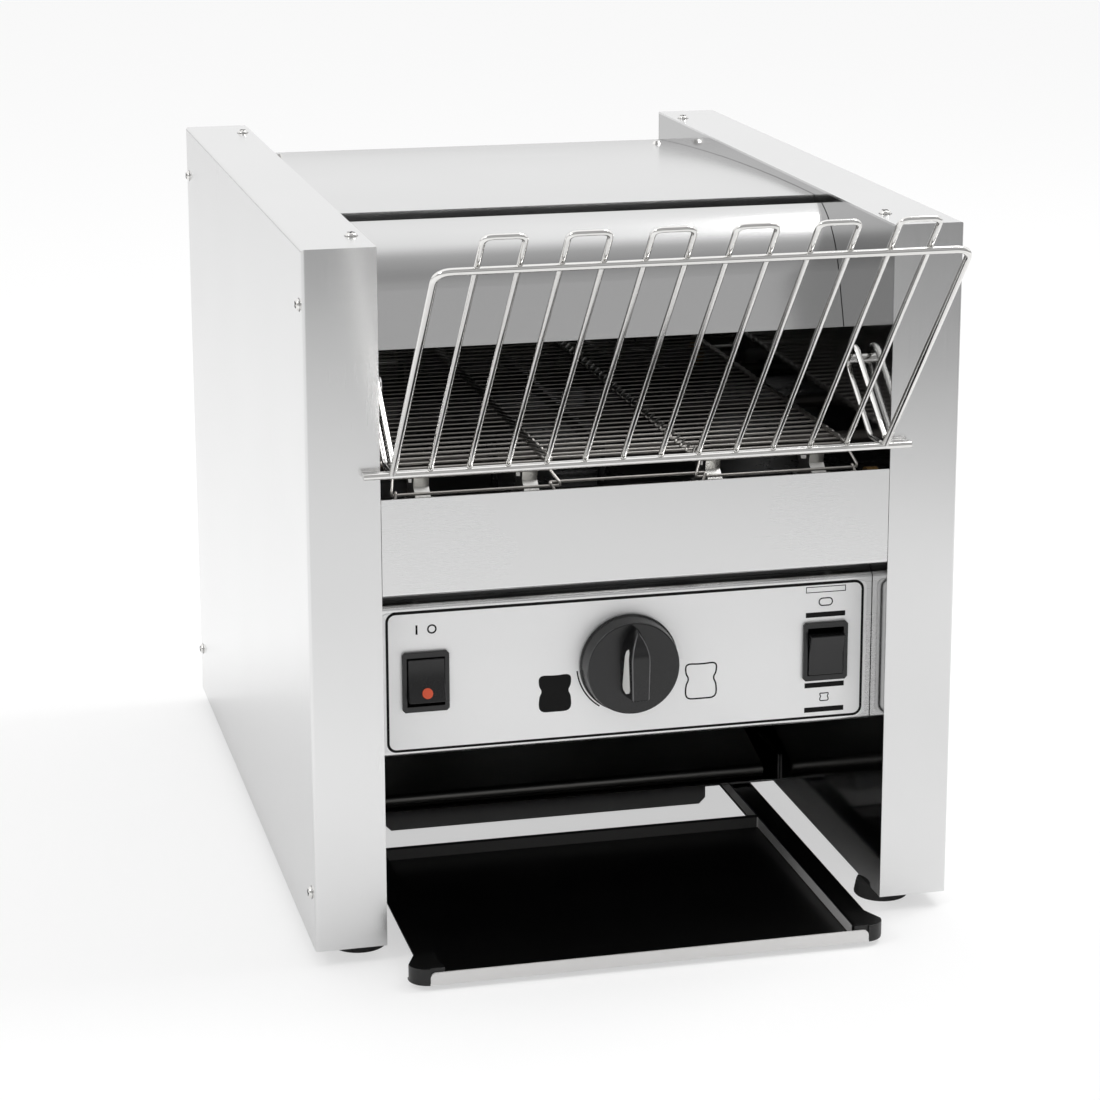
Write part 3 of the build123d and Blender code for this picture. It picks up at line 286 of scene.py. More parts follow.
@dataclass(frozen=True)
class PanelSteel(Finish):
    """The fascia."""

    # The same sheet brushed across, so its sheen spreads level. Its scratches are drawn
    # 0.5 mm wide too, which is coarser than they are.
    colour: str = "#dcdcdc"
    metallic: float = 1.0
    roughness: float = 0.27
    grain: Grain = Grain.ACROSS
    grain_mm: float = 0.5
    tone_swing: float = 0.012
    gloss_swing: float = 0.012


@dataclass(frozen=True)
class FlangedPanelSteel(PanelSteel):
    """The control panel."""

    # Panel steel whose screw flange, under the fascia, is painted dark: painted shade and painted
    # reflection of the fascia's dark underside.
    stain_from_mm: float = 196.6
    stain_colour: str = "#0e0e0e"

    def patch(self, tree: NodeTree, place: NodeSocket, colour: Source, shader: Node) -> Source:
        """Paints shade on the flange.

        Args:
            tree: The material's node tree.
            place: The surface's place, on the object's own coordinates.
            colour: The steel's colour.
            shader: The principled shader.

        Returns:
            The colour with the painted shade in it.
        """
        height = add(tree, "SeparateXYZ", {}, {0: place}).outputs["Z"]
        above = {"operation": "GREATER_THAN", 1: self.stain_from_mm * MM}
        mask = add(tree, "Math", above, {0: height})
        return covered(tree, shader, mask, colour, self.stain_colour)


@dataclass(frozen=True)
class PrintedFilm(Finish):
    """The overlay on the control panel."""

    # Silvered polyester film with a fine matt texture: even, paler and duller than the steel.
    # The texture is drawn 0.35 mm wide, coarser than it is, so that it still dulls the sheen.
    colour: str = "#f6f6f6"
    metallic: float = 0.45
    roughness: float = 0.4
    grain_mm: float = 0.35
    tone_swing: float = 0.015
    bump_mm: float = 0.01


@dataclass(frozen=True)
class PrintInk(Finish):
    """Marks on the overlay, and the painted shade in the screws' recesses and round their heads.
    """

    # Screen-printed black ink: flat, dense and a little shiny. On the screws the same black is
    # painted shade.
    colour: str = "#191919"
    grain_mm: float = 0.6
    ior: float = 1.2


@dataclass(frozen=True)
class PolishedWire(Finish):
    """Rack, guards, pegs and screws."""

    # Electropolished wire: bright lines of light beside dark ones.
    colour: str = "#e2e1df"
    metallic: float = 1.0
    roughness: float = 0.1
    grain_mm: float = 4.0
    tone_swing: float = 0.03
    gloss_swing: float = 0.04


@dataclass(frozen=True)
class BeltWire(Finish):
    """The wire belt."""

    # Spring wire darkened by heat: grey-brown with worn, brighter crowns.
    colour: str = "#a3a09c"
    metallic: float = 1.0
    roughness: float = 0.34
    grain_mm: float = 3.0
    tone_swing: float = 0.15
    gloss_swing: float = 0.1


@dataclass(frozen=True)
class BlackMoulding(Finish):
    """Knob, switches, speed regulator and gland."""

    # Glass-filled nylon: near black with a fine spark-eroded texture and a soft sheen.
    # The texture is drawn 0.4 mm wide, coarser than it is, to show at all.
    colour: str = "#141415"
    roughness: float = 0.24
    grain_mm: float = 0.4
    tone_swing: float = 0.1
    bump_mm: float = 0.01


@dataclass(frozen=True)
class HandledEdge(BlackMoulding):
    """The knob's edges, with a painted highlight."""

    # The same nylon, paler in a thin line along its edges: a painted highlight.
    colour: str = "#626263"
    roughness: float = 0.2


@dataclass(frozen=True)
class WhiteInlay(Finish):
    """The knob's pointer line."""

    # Filled paint: clean white, slightly glossy.
    colour: str = "#f2f2ef"
    roughness: float = 0.35
    tone_swing: float = 0.02


@dataclass(frozen=True)
class LampLens(Finish):
    """The power lamp."""

    # Polycarbonate lens over a lit neon: saturated orange-red with a faint glow of its own.
    colour: str = "#f2492c"
    glow: float = 0.35
    roughness: float = 0.18
    grain_mm: float = 1.2
    tone_swing: float = 0.12
    coat: float = 0.5


@dataclass(frozen=True)
class FootRubber(Finish):
    """Feet."""

    # Nitrile rubber: dull black that greys slightly with dust.
    colour: str = "#1d1d1d"
    roughness: float = 0.75
    grain_mm: float = 1.5
    bump_mm: float = 0.05


@dataclass(frozen=True)
class HeaterSheath(Finish):
    """Heater tubes."""

    # Oxidised alloy sheath: dark, dry and faintly mottled.
    colour: str = "#4a4744"
    metallic: float = 0.8
    roughness: float = 0.55
    grain_mm: float = 2.0
    tone_swing: float = 0.2


@dataclass(frozen=True)
class Steatite(Finish):
    """Heater end caps."""

    # Unglazed ceramic: off white and chalky.
    colour: str = "#dfdacc"
    roughness: float = 0.8


@dataclass(frozen=True)
class SinteredBronze(Finish):
    """Shaft bushes."""

    # Oil-filled bronze: brown-gold, its fine pores drawn 0.4 mm wide to show.
    colour: str = "#b18d58"
    metallic: float = 1.0
    roughness: float = 0.4
    grain_mm: float = 0.4
    tone_swing: float = 0.12


@dataclass(frozen=True)
class TurnedSteel(Finish):
    """Shafts, spindles and sprockets."""

    # Machined steel: grey with a slightly uneven, oily gloss.
    colour: str = "#c4c3c0"
    metallic: float = 1.0
    roughness: float = 0.3
    tone_swing: float = 0.08


@dataclass(frozen=True)
class CastAlloy(Finish):
    """The gear motor."""

    # Die-cast aluminium: pale grey with a granular skin.
    colour: str = "#a9aaab"
    metallic: float = 1.0
    grain_mm: float = 1.2
    tone_swing: float = 0.1
    bump_mm: float = 0.08


@dataclass(frozen=True)
class OiledChain(Finish):
    """The drive chain."""

    # Roller chain under old oil: brown-black, wet in places.
    colour: str = "#3a3632"
    metallic: float = 1.0
    roughness: float = 0.35
    grain_mm: float = 2.5
    tone_swing: float = 0.3
    gloss_swing: float = 0.15


@dataclass(frozen=True)
class DarkCasing(Finish):
    """Sheets that close the space behind the controls and round the belt, and its rails."""

    # Steel painted a dark, half-glossy grey: painted shade for sheets that stand in the dark
    # inside.
    colour: str = "#1c1c1d"
    metallic: float = 0.6
    roughness: float = 0.3
    grain_mm: float = 8.0
    tone_swing: float = 0.2


@dataclass(frozen=True)
class TraySteel(Finish):
    """The tray: pale walls and lip round a floor painted black."""

    # Matt pickled sheet whose floor, rear wall and flange tops are painted black: painted shade
    # and dark reflection.
    colour: str = "#e8e7e6"
    metallic: float = 0.12
    roughness: float = 0.32
    grain_mm: float = 20.0
    tone_swing: float = 0.02
    gloss_swing: float = 0.03
    floor_top_mm: float = 4.7
    flange_from_mm: float = 11.2
    rear_wall_mm: float = 136.5
    rear_cover: float = 0.9
    inner_half_mm: float = 116.4
    middle_mm: float = -4.0
    lip_rear_mm: float = -45.4
    lip_half_mm: float = 125.2
    coat_colour: str = "#050505"

    def patch(self, tree: NodeTree, place: NodeSocket, colour: Source, shader: Node) -> Source:
        """Paints shade and dark reflection on the floor, the flange tops and the rear wall, behind
        and beside the lip.

        Args:
            tree: The material's node tree.
            place: The surface's place, on the object's own coordinates.
            colour: The bare sheet's colour.
            shader: The principled shader.

        Returns:
            The colour with the painted shade in it.
        """
        across, along, height = add(tree, "SeparateXYZ", {}, {0: place}).outputs
        shifted = {"operation": "SUBTRACT", 1: self.middle_mm * MM}
        offset = add(tree, "Math", shifted, {0: across})
        reach = add(tree, "Math", {"operation": "ABSOLUTE"}, {0: offset})
        low, flange, behind_wall, inside, behind_lip, beside_lip = (
            add(tree, "Math", {"operation": test, 1: limit}, {0: value})
            for value, test, limit in (
                (height, "LESS_THAN", self.floor_top_mm * MM),
                (height, "GREATER_THAN", self.flange_from_mm * MM),
                (along, "GREATER_THAN", COLUMN_FRONT + self.rear_wall_mm * MM),
                (reach, "LESS_THAN", self.inner_half_mm * MM),
                (along, "GREATER_THAN", COLUMN_FRONT + self.lip_rear_mm * MM),
                (reach, "GREATER_THAN", self.lip_half_mm * MM),
            )
        )
        # Painted shade and dark reflection: the floor, the flange tops and most of the rear wall.
        wall = combined(tree, "MULTIPLY", behind_wall, inside)
        rear = add(tree, "Math", {"operation": "MULTIPLY", 1: self.rear_cover}, {0: wall})
        coated = combined(tree, "MAXIMUM", low, flange, rear)
        off_lip = combined(tree, "MAXIMUM", behind_lip, beside_lip)
        mask = combined(tree, "MULTIPLY", coated, off_lip)
        return covered(tree, shader, mask, colour, self.coat_colour)


@dataclass(frozen=True)
class TrayCoat(Finish):
    """The tray's painted shade where it stands alone."""

    # Deep black with a low, even sheen: painted shade and dark reflection, as on the tray's floor.
    colour: str = "#0b0b0b"
    roughness: float = 0.35
    grain_mm: float = 5.0


# ------------------------------------------------------------------ meshes


@dataclass(frozen=True)
class Dressing:
    """What a finished piece needs besides its mesh."""

    name: str
    finish: Finish
    slot: str
    body: str = ROOT
    replaces: tuple[str, ...] = ()
    sharp_deg: float = 35.0
    second: Finish | None = None


def settle(shape: BMesh, dressing: Dressing, in_mm: bool = True) -> None:
    """Turns a bmesh into a finished piece, at the origin and unscaled, and frees it.

    Args:
        shape: The mesh, in drawing millimetres or already in metres.
        dressing: Its name, finishes, slot, body and the nodes that it stands for.
        in_mm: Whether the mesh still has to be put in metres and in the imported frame.
    """
    if in_mm:
        bmesh.ops.scale(shape, vec=(MM, MM, MM), verts=shape.verts)
        bmesh.ops.translate(shape, vec=(0, COLUMN_FRONT, 0), verts=shape.verts)
    for face in shape.faces:
        face.smooth = True
    for edge in shape.edges:
        edge.smooth = edge.calc_face_angle(0) < radians(dressing.sharp_deg)
    mesh = bpy.data.meshes.new(dressing.name)
    shape.to_mesh(mesh)
    shape.free()
    for finish in filter(None, (dressing.finish, dressing.second)):
        mesh.materials.append(finish.make())
    piece = bpy.data.objects.new(dressing.name, mesh)
    bpy.context.scene.collection.objects.link(piece)
    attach(piece, dressing.body)
    if dressing.replaces:
        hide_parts(*dressing.replaces)
    weigh = piece.modifiers.new("even_shading", "WEIGHTED_NORMAL")
    weigh.keep_sharp = True
    log.info("built %s with %d faces", dressing.name, len(mesh.polygons))


def packed_copy(node: str) -> BMesh:
    """Copies a node's mesh, merges its doubled points and makes its flat faces whole.

    Args:
        node: The node's name.

    Returns:
        A bmesh of the copy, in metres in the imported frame.
    """
    shape = bmesh.new()
    shape.from_mesh(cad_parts[node].data)
    bmesh.ops.remove_doubles(shape, verts=shape.verts, dist=PACKED_MERGE_M)
    bmesh.ops.dissolve_limit(
        shape, angle_limit=radians(FLAT_DEG), verts=shape.verts, edges=shape.edges
    )
    return shape


def dress(node: str, finish: Finish) -> None:
    """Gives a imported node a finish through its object's own material slots.

    Args:
        node: The node's name.
        finish: Its finish.
    """
    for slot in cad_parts[node].material_slots:
        slot.link = "OBJECT"
        slot.material = finish.make()


def bevel(shape: BMesh, parts: list, width: float, segments: int, affect: str = "EDGES") -> None:
    """Bevels some of a shape's edges or corners.

    Args:
        shape: The shape.
        parts: The edges or corners.
        width: The bevel's width.
        segments: Its segments.
        affect: EDGES, or VERTICES for corners.
    """
    bmesh.ops.bevel(
        shape, geom=parts, offset=width, affect=affect, segments=segments, profile=0.5,
        material=-1, clamp_overlap=True,
    )


def spun(profile: Iterable[Sequence[float]], steps: int) -> BMesh:
    """Spins a profile once round Z and turns its skin outwards.

    Args:
        profile: The profile's points, on the XZ plane.
        steps: Faces in one turn.

    Returns:
        A bmesh of the turned shape.
    """
    shape = bmesh.new()
    points = [shape.verts.new(point) for point in profile]
    edges = [shape.edges.new(pair) for pair in zip(points, points[1:])]
    bmesh.ops.spin(
        shape, geom=points + edges, axis=(0, 0, 1), cent=(0, 0, 0), angle=2 * pi, steps=steps,
        use_merge=True,
    )
    bmesh.ops.remove_doubles(shape, verts=shape.verts, dist=MERGE_MM)
    bmesh.ops.recalc_face_normals(shape, faces=shape.faces)
    return shape


def facing_front(x: float, y: float, z: float) -> Matrix:
    """A matrix that turns a shape that faces up to face the front, and puts it at a place."""
    return Matrix.Translation((x, y, z)) @ Matrix.Rotation(pi / 2, 4, "X")


def rounded(points: Sequence[Vector], cut: float, steps: int) -> list[Vector]:
    """Bends a line at its corners.

    Args:
        points: The line's corners, with its two ends.
        cut: How far from a corner the bend starts.
        steps: Points in each bend, less one.

    Returns:
        The bent line's points.
    """
    line = [points[0]]
    for before, corner, after in zip(points, points[1:], points[2:]):
        start, end = (
            corner + way.normalized() * min(cut, way.length * BEND_SHARE)
            for way in (before - corner, after - corner)
        )
        for step in range(steps + 1):
            t = step / steps
            line.append(start * (1 - t) ** 2 + corner * 2 * t * (1 - t) + end * t**2)
    return [*line, points[-1]]


def tube(points: Iterable[Vector], radius: float, resolution: int) -> BMesh:
    """Sweeps a round section along a line and closes its ends.

    Args:
        points: The line's points.
        radius: The section's radius.
        resolution: How finely the section is divided.

    Returns:
        A bmesh of the tube.
    """
    line = bpy.data.curves.new("line", "CURVE")
    line.dimensions = "3D"
    line.bevel_depth = radius
    line.bevel_resolution = resolution
    line.use_fill_caps = True
    spline = line.splines.new("POLY")
    places = list(points)
    spline.points.add(len(places) - 1)
    for point, place in zip(spline.points, places):
        point.co = (*place, 1.0)
    holder = bpy.data.objects.new("line", line)
    mesh = bpy.data.meshes.new_from_object(holder)
    shape = bmesh.new()
    shape.from_mesh(mesh)
    bmesh.ops.remove_doubles(shape, verts=shape.verts, dist=radius * MERGE_SHARE)
    bmesh.ops.recalc_face_normals(shape, faces=shape.faces)
    bpy.data.objects.remove(holder)
    bpy.data.curves.remove(line)
    bpy.data.meshes.remove(mesh)
    return shape


def join(target: BMesh, part: BMesh, place: Matrix = Matrix()) -> None:
    """Adds a part to a target mesh, and frees the part.

    Args:
        target: The mesh that grows.
        part: The part's mesh.
        place: Where the part goes.
    """
    mesh = bpy.data.meshes.new("part")
    part.transform(place)
    part.to_mesh(mesh)
    part.free()
    target.from_mesh(mesh)
    bpy.data.meshes.remove(mesh)


# ------------------------------------------------------------------ sub-assemblies


@dataclass
class Casework:
    """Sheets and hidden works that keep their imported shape, under each finish."""

    finishes: tuple[tuple[Finish, str], ...] = (
        (SatinStainless(), "side_panel_left side_panel_right back_panel"),
        (HoodStainless(), "top_cover front_hood"),
        (BrightStainless(), "chassis_wall_left chassis_wall_right tray_guides"),
        (PanelSteel(), "fascia"),
        (FlangedPanelSteel(), "control_panel"),
        (PrintedFilm(), "control_overlay"),
        (DarkCasing(), "control_box upper_reflector lower_reflector belt_rails"),
        (ChuteStainless(), "discharge_chute"),
        (TraySteel(), "toast_tray"),
        (PolishedWire(), "heater_guard rack_pegs"),
        (HeaterSheath(), "upper_heaters lower_heaters"),
        (Steatite(), "heater_end_caps"),
        (SinteredBronze(), "shaft_bushes"),
        (TurnedSteel(), "front_shaft rear_shaft front_sprockets rear_sprockets"),
        (TurnedSteel(), "driven_sprocket motor_sprocket motor_spindle knob_spindle"),
        (OiledChain(), "drive_chain"),
        (BlackMoulding(), "speed_regulator"),
        (LampLens(), "power_lamp"),
    )

    def build(self) -> None:
        """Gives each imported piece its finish."""
        for finish, nodes in self.finishes:
            for node in nodes.split():
                dress(node, finish)
                log.info("dressed %s", node)


@dataclass
class BasePan:
    """The bottom pan, whose front apron runs on behind both columns."""

    pan_z: float = 26.0
    longer: tuple[float, float] = (18.0, 11.0)
    apron_reach: float = 95.0
    apron_depth: float = 2.0

    def build(self) -> None:
        """Copies the pan and draws out both ends of its apron."""
        shape = packed_copy("base_pan")
        rear = min(vert.co.y for vert in shape.verts) + self.apron_depth * MM
        left, right = self.longer
        for vert in shape.verts:
            x, y, z = vert.co
            if y < rear and abs(x) < self.apron_reach * MM and z < self.pan_z * MM:
                vert.co.x += right * MM if x > 0 else -left * MM
        look = Dressing(
            "base_pan_long", BrightStainless(), "mirror_steel", replaces=("base_pan",)
        )
        settle(shape, look, in_mm=False)


@dataclass
class Mouldings:
    """Moulded and cast pieces, whose edges are rounded by their tools."""

    edges: dict[str, tuple[Finish, str, str, float]] = field(
        default_factory=lambda: {
            "power_rocker": (BlackMoulding(), "black_plastic", "power_rocker", 0.6),
            "mode_rocker": (BlackMoulding(), "black_plastic", "mode_rocker", 0.6),
            "power_switch_housing": (BlackMoulding(), "black_plastic", ROOT, 0.5),
            "mode_switch_housing": (BlackMoulding(), "black_plastic", ROOT, 0.5),
            "cable_gland": (BlackMoulding(), "black_plastic", ROOT, 0.6),
            "gear_motor": (CastAlloy(), "motor_alloy", ROOT, 0.8),
            **{
                f"foot_{end}_{side}": (FootRubber(), "foot_rubber", ROOT, 1.2)
                for end in ("front", "rear")
                for side in ("left", "right")
            },
        }
    )
    crisp_deg: float = 28.0
    segments: int = 3

    def build(self) -> None:
        """Replaces each piece by a copy of it with bevelled edges."""
        for node, (finish, slot, body, width) in self.edges.items():
            shape = packed_copy(node)
            limit = radians(self.crisp_deg)
            crisp = [edge for edge in shape.edges if edge.calc_face_angle(0) > limit]
            bevel(shape, crisp, width * MM, self.segments)
            settle(shape, Dressing(f"{node}_eased", finish, slot, body, (node,)), in_mm=False)


@dataclass
class Knob:
    """The speed knob: a skirted disc, and a pointer grip with a white line in its left flank."""

    back_y: float = 24.0
    centre_z: float = 154.5
    skirt: tuple[float, float] = (28.5, 2.0)
    drum: tuple[float, float] = (27.7, 26.6)
    depth: float = 12.0
    ease: float = 1.0
    ease_steps: int = 4
    turn_steps: int = 72
    rim_lean: tuple[float, float] = (0.5, 0.8)
    tip: float = 24.3
    tail: float = -14.5
    shoulder: float = 8.0
    half_width: float = 7.5
    tail_half: float = 7.0
    tip_power: float = 0.65
    height: float = 15.9
    tip_height: float = 7.0
    flat_from: float = 9.5
    slope_power: float = 0.7
    draft: float = 0.12
    sunk: float = 0.4
    edge: float = 1.3
    edge_share: float = 0.8
    edge_steps: int = 5
    least_top: float = 0.1
    least_half: float = 0.3
    rows: int = 16
    row_power: float = 1.6
    tail_steps: int = 4
    rubbed: tuple[int, ...] = (3, 4)
    line_top: float = 14.2
    line_bottom: float = -12.3
    line_low: tuple[float, float] = (7.3, 0.9)
    line_high: tuple[float, float] = (11.0, 12.3)
    line_ends: tuple[float, float] = (0.16, 0.1)
    line_rows: int = 18
    line_lift: float = 0.12
    line_margin: float = 0.05
    line_depth: float = 0.3

    def half(self, along: float) -> float:
        """Half the grip's width at its foot.

        Args:
            along: The place along the grip, towards its tip from the knob's middle.

        Returns:
            Half the width there.
        """
        if along <= self.shoulder:
            share = (self.shoulder - along) / (self.shoulder - self.tail)
            return self.half_width + (self.tail_half - self.half_width) * share
        share = (along - self.shoulder) / (self.tip - self.shoulder)
        return self.half_width * cos(share * pi / 2) ** self.tip_power

    def top(self, along: float) -> float:
        """The grip's height.

        Args:
            along: The place along the grip, towards its tip from the knob's middle.

        Returns:
            The height there, above the disc.
        """
        if along <= self.flat_from:
            return self.height
        share = (along - self.flat_from) / (self.tip - self.flat_from)
        rise = self.height - self.tip_height
        return self.tip_height + rise * cos(share * pi / 2) ** self.slope_power

    def disc(self) -> BMesh:
        """The skirt and drum, spun from their profile.

        Returns:
            A bmesh that faces up, with the rim's painted highlight on the second finish.
        """
        foot, crown = self.drum
        reach, lip = self.skirt
        corners = [
            (0, self.depth), (crown, self.depth), (foot, lip), (reach, lip), (reach, 0), (0, 0),
        ]
        line = rounded([Vector((x, 0, z)) for x, z in corners], self.ease, self.ease_steps)
        shape = spun(line, self.turn_steps)
        # Rim faces that lean this way get the painted highlight.
        low, high = self.rim_lean
        for face in shape.faces:
            crowning = face.calc_center_median().z > self.depth - self.ease
            if crowning and low < abs(face.normal.z) < high:
                face.material_index = 1
        return shape

    def section(self, half: float, height: float) -> list[tuple[float, float]]:
        """The grip's cross-section: two leaning flanks joined by a top with round edges.

        Args:
            half: Half its width at the foot.
            height: Its height above the disc.

        Returns:
            Points across and up, from the left foot to the right one.
        """
        top = max(half - self.draft * height, self.least_top)
        edge = min(self.edge, self.edge_share * top)
        left = [(-half, -self.sunk)]
        for step in range(self.edge_steps + 1):
            turn = pi - step * pi / (2 * self.edge_steps)
            left.append((edge - top + edge * cos(turn), height - edge + edge * sin(turn)))
        return [*left, *[(-x, z) for x, z in reversed(left)]]

    def grip(self) -> BMesh:
        """The pointer grip: a skin through its cross-sections, from its tip to its round tail.

        Returns:
            A bmesh that faces up, with the painted highlight of its edges on the second finish.
        """
        shares = [(n / self.rows) ** self.row_power for n in range(self.rows + 1)]
        stations = [(self.tip - (self.tip - self.shoulder) * share, 0.0) for share in shares]
        for step in range(self.tail_steps + 1):
            turn = step * pi / (2 * self.tail_steps)
            along = self.tail + self.edge * (1 - sin(turn))
            stations.append((along, self.edge * (1 - cos(turn))))
        shape = bmesh.new()
        rows = []
        for along, sink in stations:
            half = max(self.half(along) - sink, self.least_half)
            outline = self.section(half, self.top(along) - sink)
            rows.append([shape.verts.new((x, along, self.depth + z)) for x, z in outline])
        for before, after in zip(rows, rows[1:]):
            last = len(before) - 1
            for n in range(last):
                face = shape.faces.new([before[n], before[n + 1], after[n + 1], after[n]])
                # The rows round the top's edges get the painted highlight.
                face.material_index = int(n in self.rubbed or last - 1 - n in self.rubbed)
        shape.faces.new(rows[0])
        shape.faces.new(rows[-1])
        bmesh.ops.recalc_face_normals(shape, faces=shape.faces)
        return shape

    def pointer(self) -> BMesh:
        """The white line: a drop that widens towards the tail, on the grip's left flank.

        Returns:
            A bmesh that faces up.
        """
        shape = bmesh.new()
        rows = []
        upper, lower = self.line_ends
        for n in range(self.line_rows + 1):
            share = n / self.line_rows
            along = self.line_top + (self.line_bottom - self.line_top) * share
            low, high = (a + (b - a) * share for a, b in (self.line_low, self.line_high))
            end = max(0.0, 1 - (1 - share) / upper, 1 - share / lower)
            middle, reach = (low + high) / 2, (high - low) / 2 * max(1 - end**2, 0.0) ** 0.5
            row = []
            for up in (middle - reach - self.line_margin, middle + reach + self.line_margin):
                lean = self.half(along) - self.draft * up
                row.append(shape.verts.new((-lean - self.line_lift, along, self.depth + up)))
            rows.append(row)
        for before, after in zip(rows, rows[1:]):
            shape.faces.new([before[0], before[1], after[1], after[0]])
        bmesh.ops.recalc_face_normals(shape, faces=shape.faces)
        if sum(face.normal.x for face in shape.faces) > 0:
            bmesh.ops.reverse_faces(shape, faces=shape.faces)
        bmesh.ops.solidify(shape, geom=shape.faces[:], thickness=self.line_depth)
        return shape

    def build(self) -> None:
        """Builds the knob and its line on the knob's own body."""
        place = facing_front(0, self.back_y, self.centre_z)
        body, line = bmesh.new(), bmesh.new()
        join(body, self.disc(), place)
        join(body, self.grip(), place)
        join(line, self.pointer(), place)
        owner = "speed_knob"
        settle(
            body,
            Dressing(
                "knob_round", BlackMoulding(), "black_plastic", owner, ("knob",),
                second=HandledEdge(),
            ),
        )
        settle(line, Dressing("knob_line", WhiteInlay(), "white_mark", owner, ("knob_marker",)))


@dataclass
class TrayCorners:
    """Blocks that close the tray's front corners, from its lip to its side flanges, black with
    painted shade.
    """

    middle_x: float = -4.0
    lip_half: float = 125.05
    wall_half: float = 116.9
    flange_half: tuple[float, float] = (118.3, 130.0)
    apron_half: float = 135.4
    front_y: float = -46.9
    behind_lip_y: float = -45.7
    wall_y: float = -41.1
    rear_y: float = -24.0
    heights: tuple[float, float] = (4.15, 12.5)
    corner: float = 10.0
    corner_steps: int = 8
    ease: float = 0.7
    ease_segments: int = 3
    slack: float = 0.01

    def plan(self) -> list[tuple[float, float]]:
        """The block's outline from above, for the right corner.

        Returns:
            Points across from the tray's middle, and back.
        """
        x, y = self.apron_half - self.corner, self.front_y + self.corner
        steps = range(self.corner_steps + 1)
        turns = [-pi / 2 + step * pi / (2 * self.corner_steps) for step in steps]
        arc = [(x + self.corner * cos(turn), y + self.corner * sin(turn)) for turn in turns]
        inner, outer = self.flange_half
        return [
            (self.wall_half, self.behind_lip_y), (self.lip_half, self.behind_lip_y),
            (self.lip_half, self.front_y), *arc, (outer, self.rear_y), (inner, self.rear_y),
            (inner, self.wall_y), (self.wall_half, self.wall_y),
        ]

    def build(self) -> None:
        """Draws up both blocks from their outline and rounds their top edges."""
        low, high = self.heights
        shape = bmesh.new()
        for side in (-1, 1):
            block = bmesh.new()
            plan = [(self.middle_x + side * x, y, low) for x, y in self.plan()[::side]]
            foot = block.faces.new([block.verts.new(point) for point in plan])
            raised = bmesh.ops.extrude_face_region(block, geom=[foot])["geom"]
            top = [vert for vert in raised if isinstance(vert, BMVert)]
            bmesh.ops.translate(block, vec=(0, 0, high - low), verts=top)
            level = high - self.slack
            rim = [edge for edge in block.edges if all(vert.co.z > level for vert in edge.verts)]
            bevel(block, rim, self.ease, self.ease_segments)
            bmesh.ops.recalc_face_normals(block, faces=block.faces)
            join(shape, block)
        settle(shape, Dressing("tray_corner_blocks", TrayCoat(), "mirror_steel", "tray"))


@dataclass
class WireBelt:
    """The flat-flex belt: round wires that run straight across and hook round each other."""

    lane_x: float = -4.0
    half_width: float = 133.0
    edge_loop: float = 9.0
    spaces: int = 3
    wire_radius: float = 0.9
    side_gap: float = 0.35
    bend_half: float = 2.7
    bend_lift: float = 1.55
    bend_ease: float = 0.7
    bend_cut: float = 0.9
    bend_steps: int = 2
    slant: float = 2.4
    fineness: int = 1
    hook_reach: tuple[float, float] = (2.2, 1.4)
    hook_dip: float = 0.3
    hook_rise: float = 0.6
    radius: float = 24.0
    front_y: float = 31.0
    rear_y: float = 388.0
    shaft_z: float = 248.5
    target_pitch: float = 10.8
    sharp_deg: float = 85.0

    def loop(self) -> tuple[float, int]:
        """Length of the belt's middle line, and how many wires it has."""
        length = 2 * (self.rear_y - self.front_y) + 2 * pi * self.radius
        return length, round(length / self.target_pitch)

    def place(self, run: float) -> Matrix:
        """Where a wire sits, from its distance along the belt.

        Args:
            run: Distance from the top of the front bend, along the upper run.

        Returns:
            A matrix with X across, Y along the belt and Z outwards.
        """
        gap, bend = self.rear_y - self.front_y, pi * self.radius
        if run < gap:
            y, angle = self.front_y + run, pi / 2
        elif run < gap + bend:
            y, angle = self.rear_y, pi / 2 - (run - gap) / self.radius
        elif run < 2 * gap + bend:
            y, angle = self.rear_y - (run - gap - bend), -pi / 2
        else:
            y, angle = self.front_y, -pi / 2 - (run - 2 * gap - bend) / self.radius
        outward = Vector((0, cos(angle), sin(angle)))
        across = Vector((1, 0, 0))
        middle = Vector((0, y, self.shaft_z)) + outward * self.radius
        turned = Matrix((across, outward.cross(across), outward)).transposed().to_4x4()
        return Matrix.Translation(middle) @ turned

    def strand(self, pitch: float) -> BMesh:
        """One wire: straight runs, raised bends at the joints, hooked ends.

        Args:
            pitch: Distance from wire to wire.

        Returns:
            A bmesh of the wire, lying flat.
        """
        r, raised = self.wire_radius, self.bend_lift
        near = -pitch / 2 - r - self.side_gap
        left = self.lane_x - self.half_width + self.edge_loop
        width = 2 * (self.half_width - self.edge_loop) / self.spaces
        edge = left - self.edge_loop + r
        end, turn = (near + pitch + reach * r for reach in self.hook_reach)
        ends = [
            (edge + self.slant, end, -self.hook_dip), (edge + self.slant, turn, raised),
            (edge, near + self.hook_rise, raised), (edge, near, 0),
        ]
        points = [Vector(p) for p in ends]
        for joint, (start, stop) in enumerate(((near, -near), (-near, near)), 1):
            x = left + joint * width
            ease = self.bend_ease if stop > start else -self.bend_ease
            points += [
                Vector((x + self.bend_half, start, 0)),
                Vector((x + self.bend_half, start + ease, raised)),
                Vector((x - self.bend_half, stop - ease, raised)),
                Vector((x - self.bend_half, stop, 0)),
            ]
        points += [Vector((2 * self.lane_x - x, y, z)) for x, y, z in reversed(ends)]
        return tube(rounded(points, self.bend_cut, self.bend_steps), r, self.fineness)

    def build(self) -> None:
        """Sets every wire round the loop."""
        length, count = self.loop()
        pitch = length / count
        shape = bmesh.new()
        for index in range(count):
            join(shape, self.strand(pitch), self.place((index + 0.5) * pitch))
        look = Dressing(
            "belt_wires", BeltWire(), "bright_wire", replaces=("wire_belt",),
            sharp_deg=self.sharp_deg,
        )
        settle(shape, look)


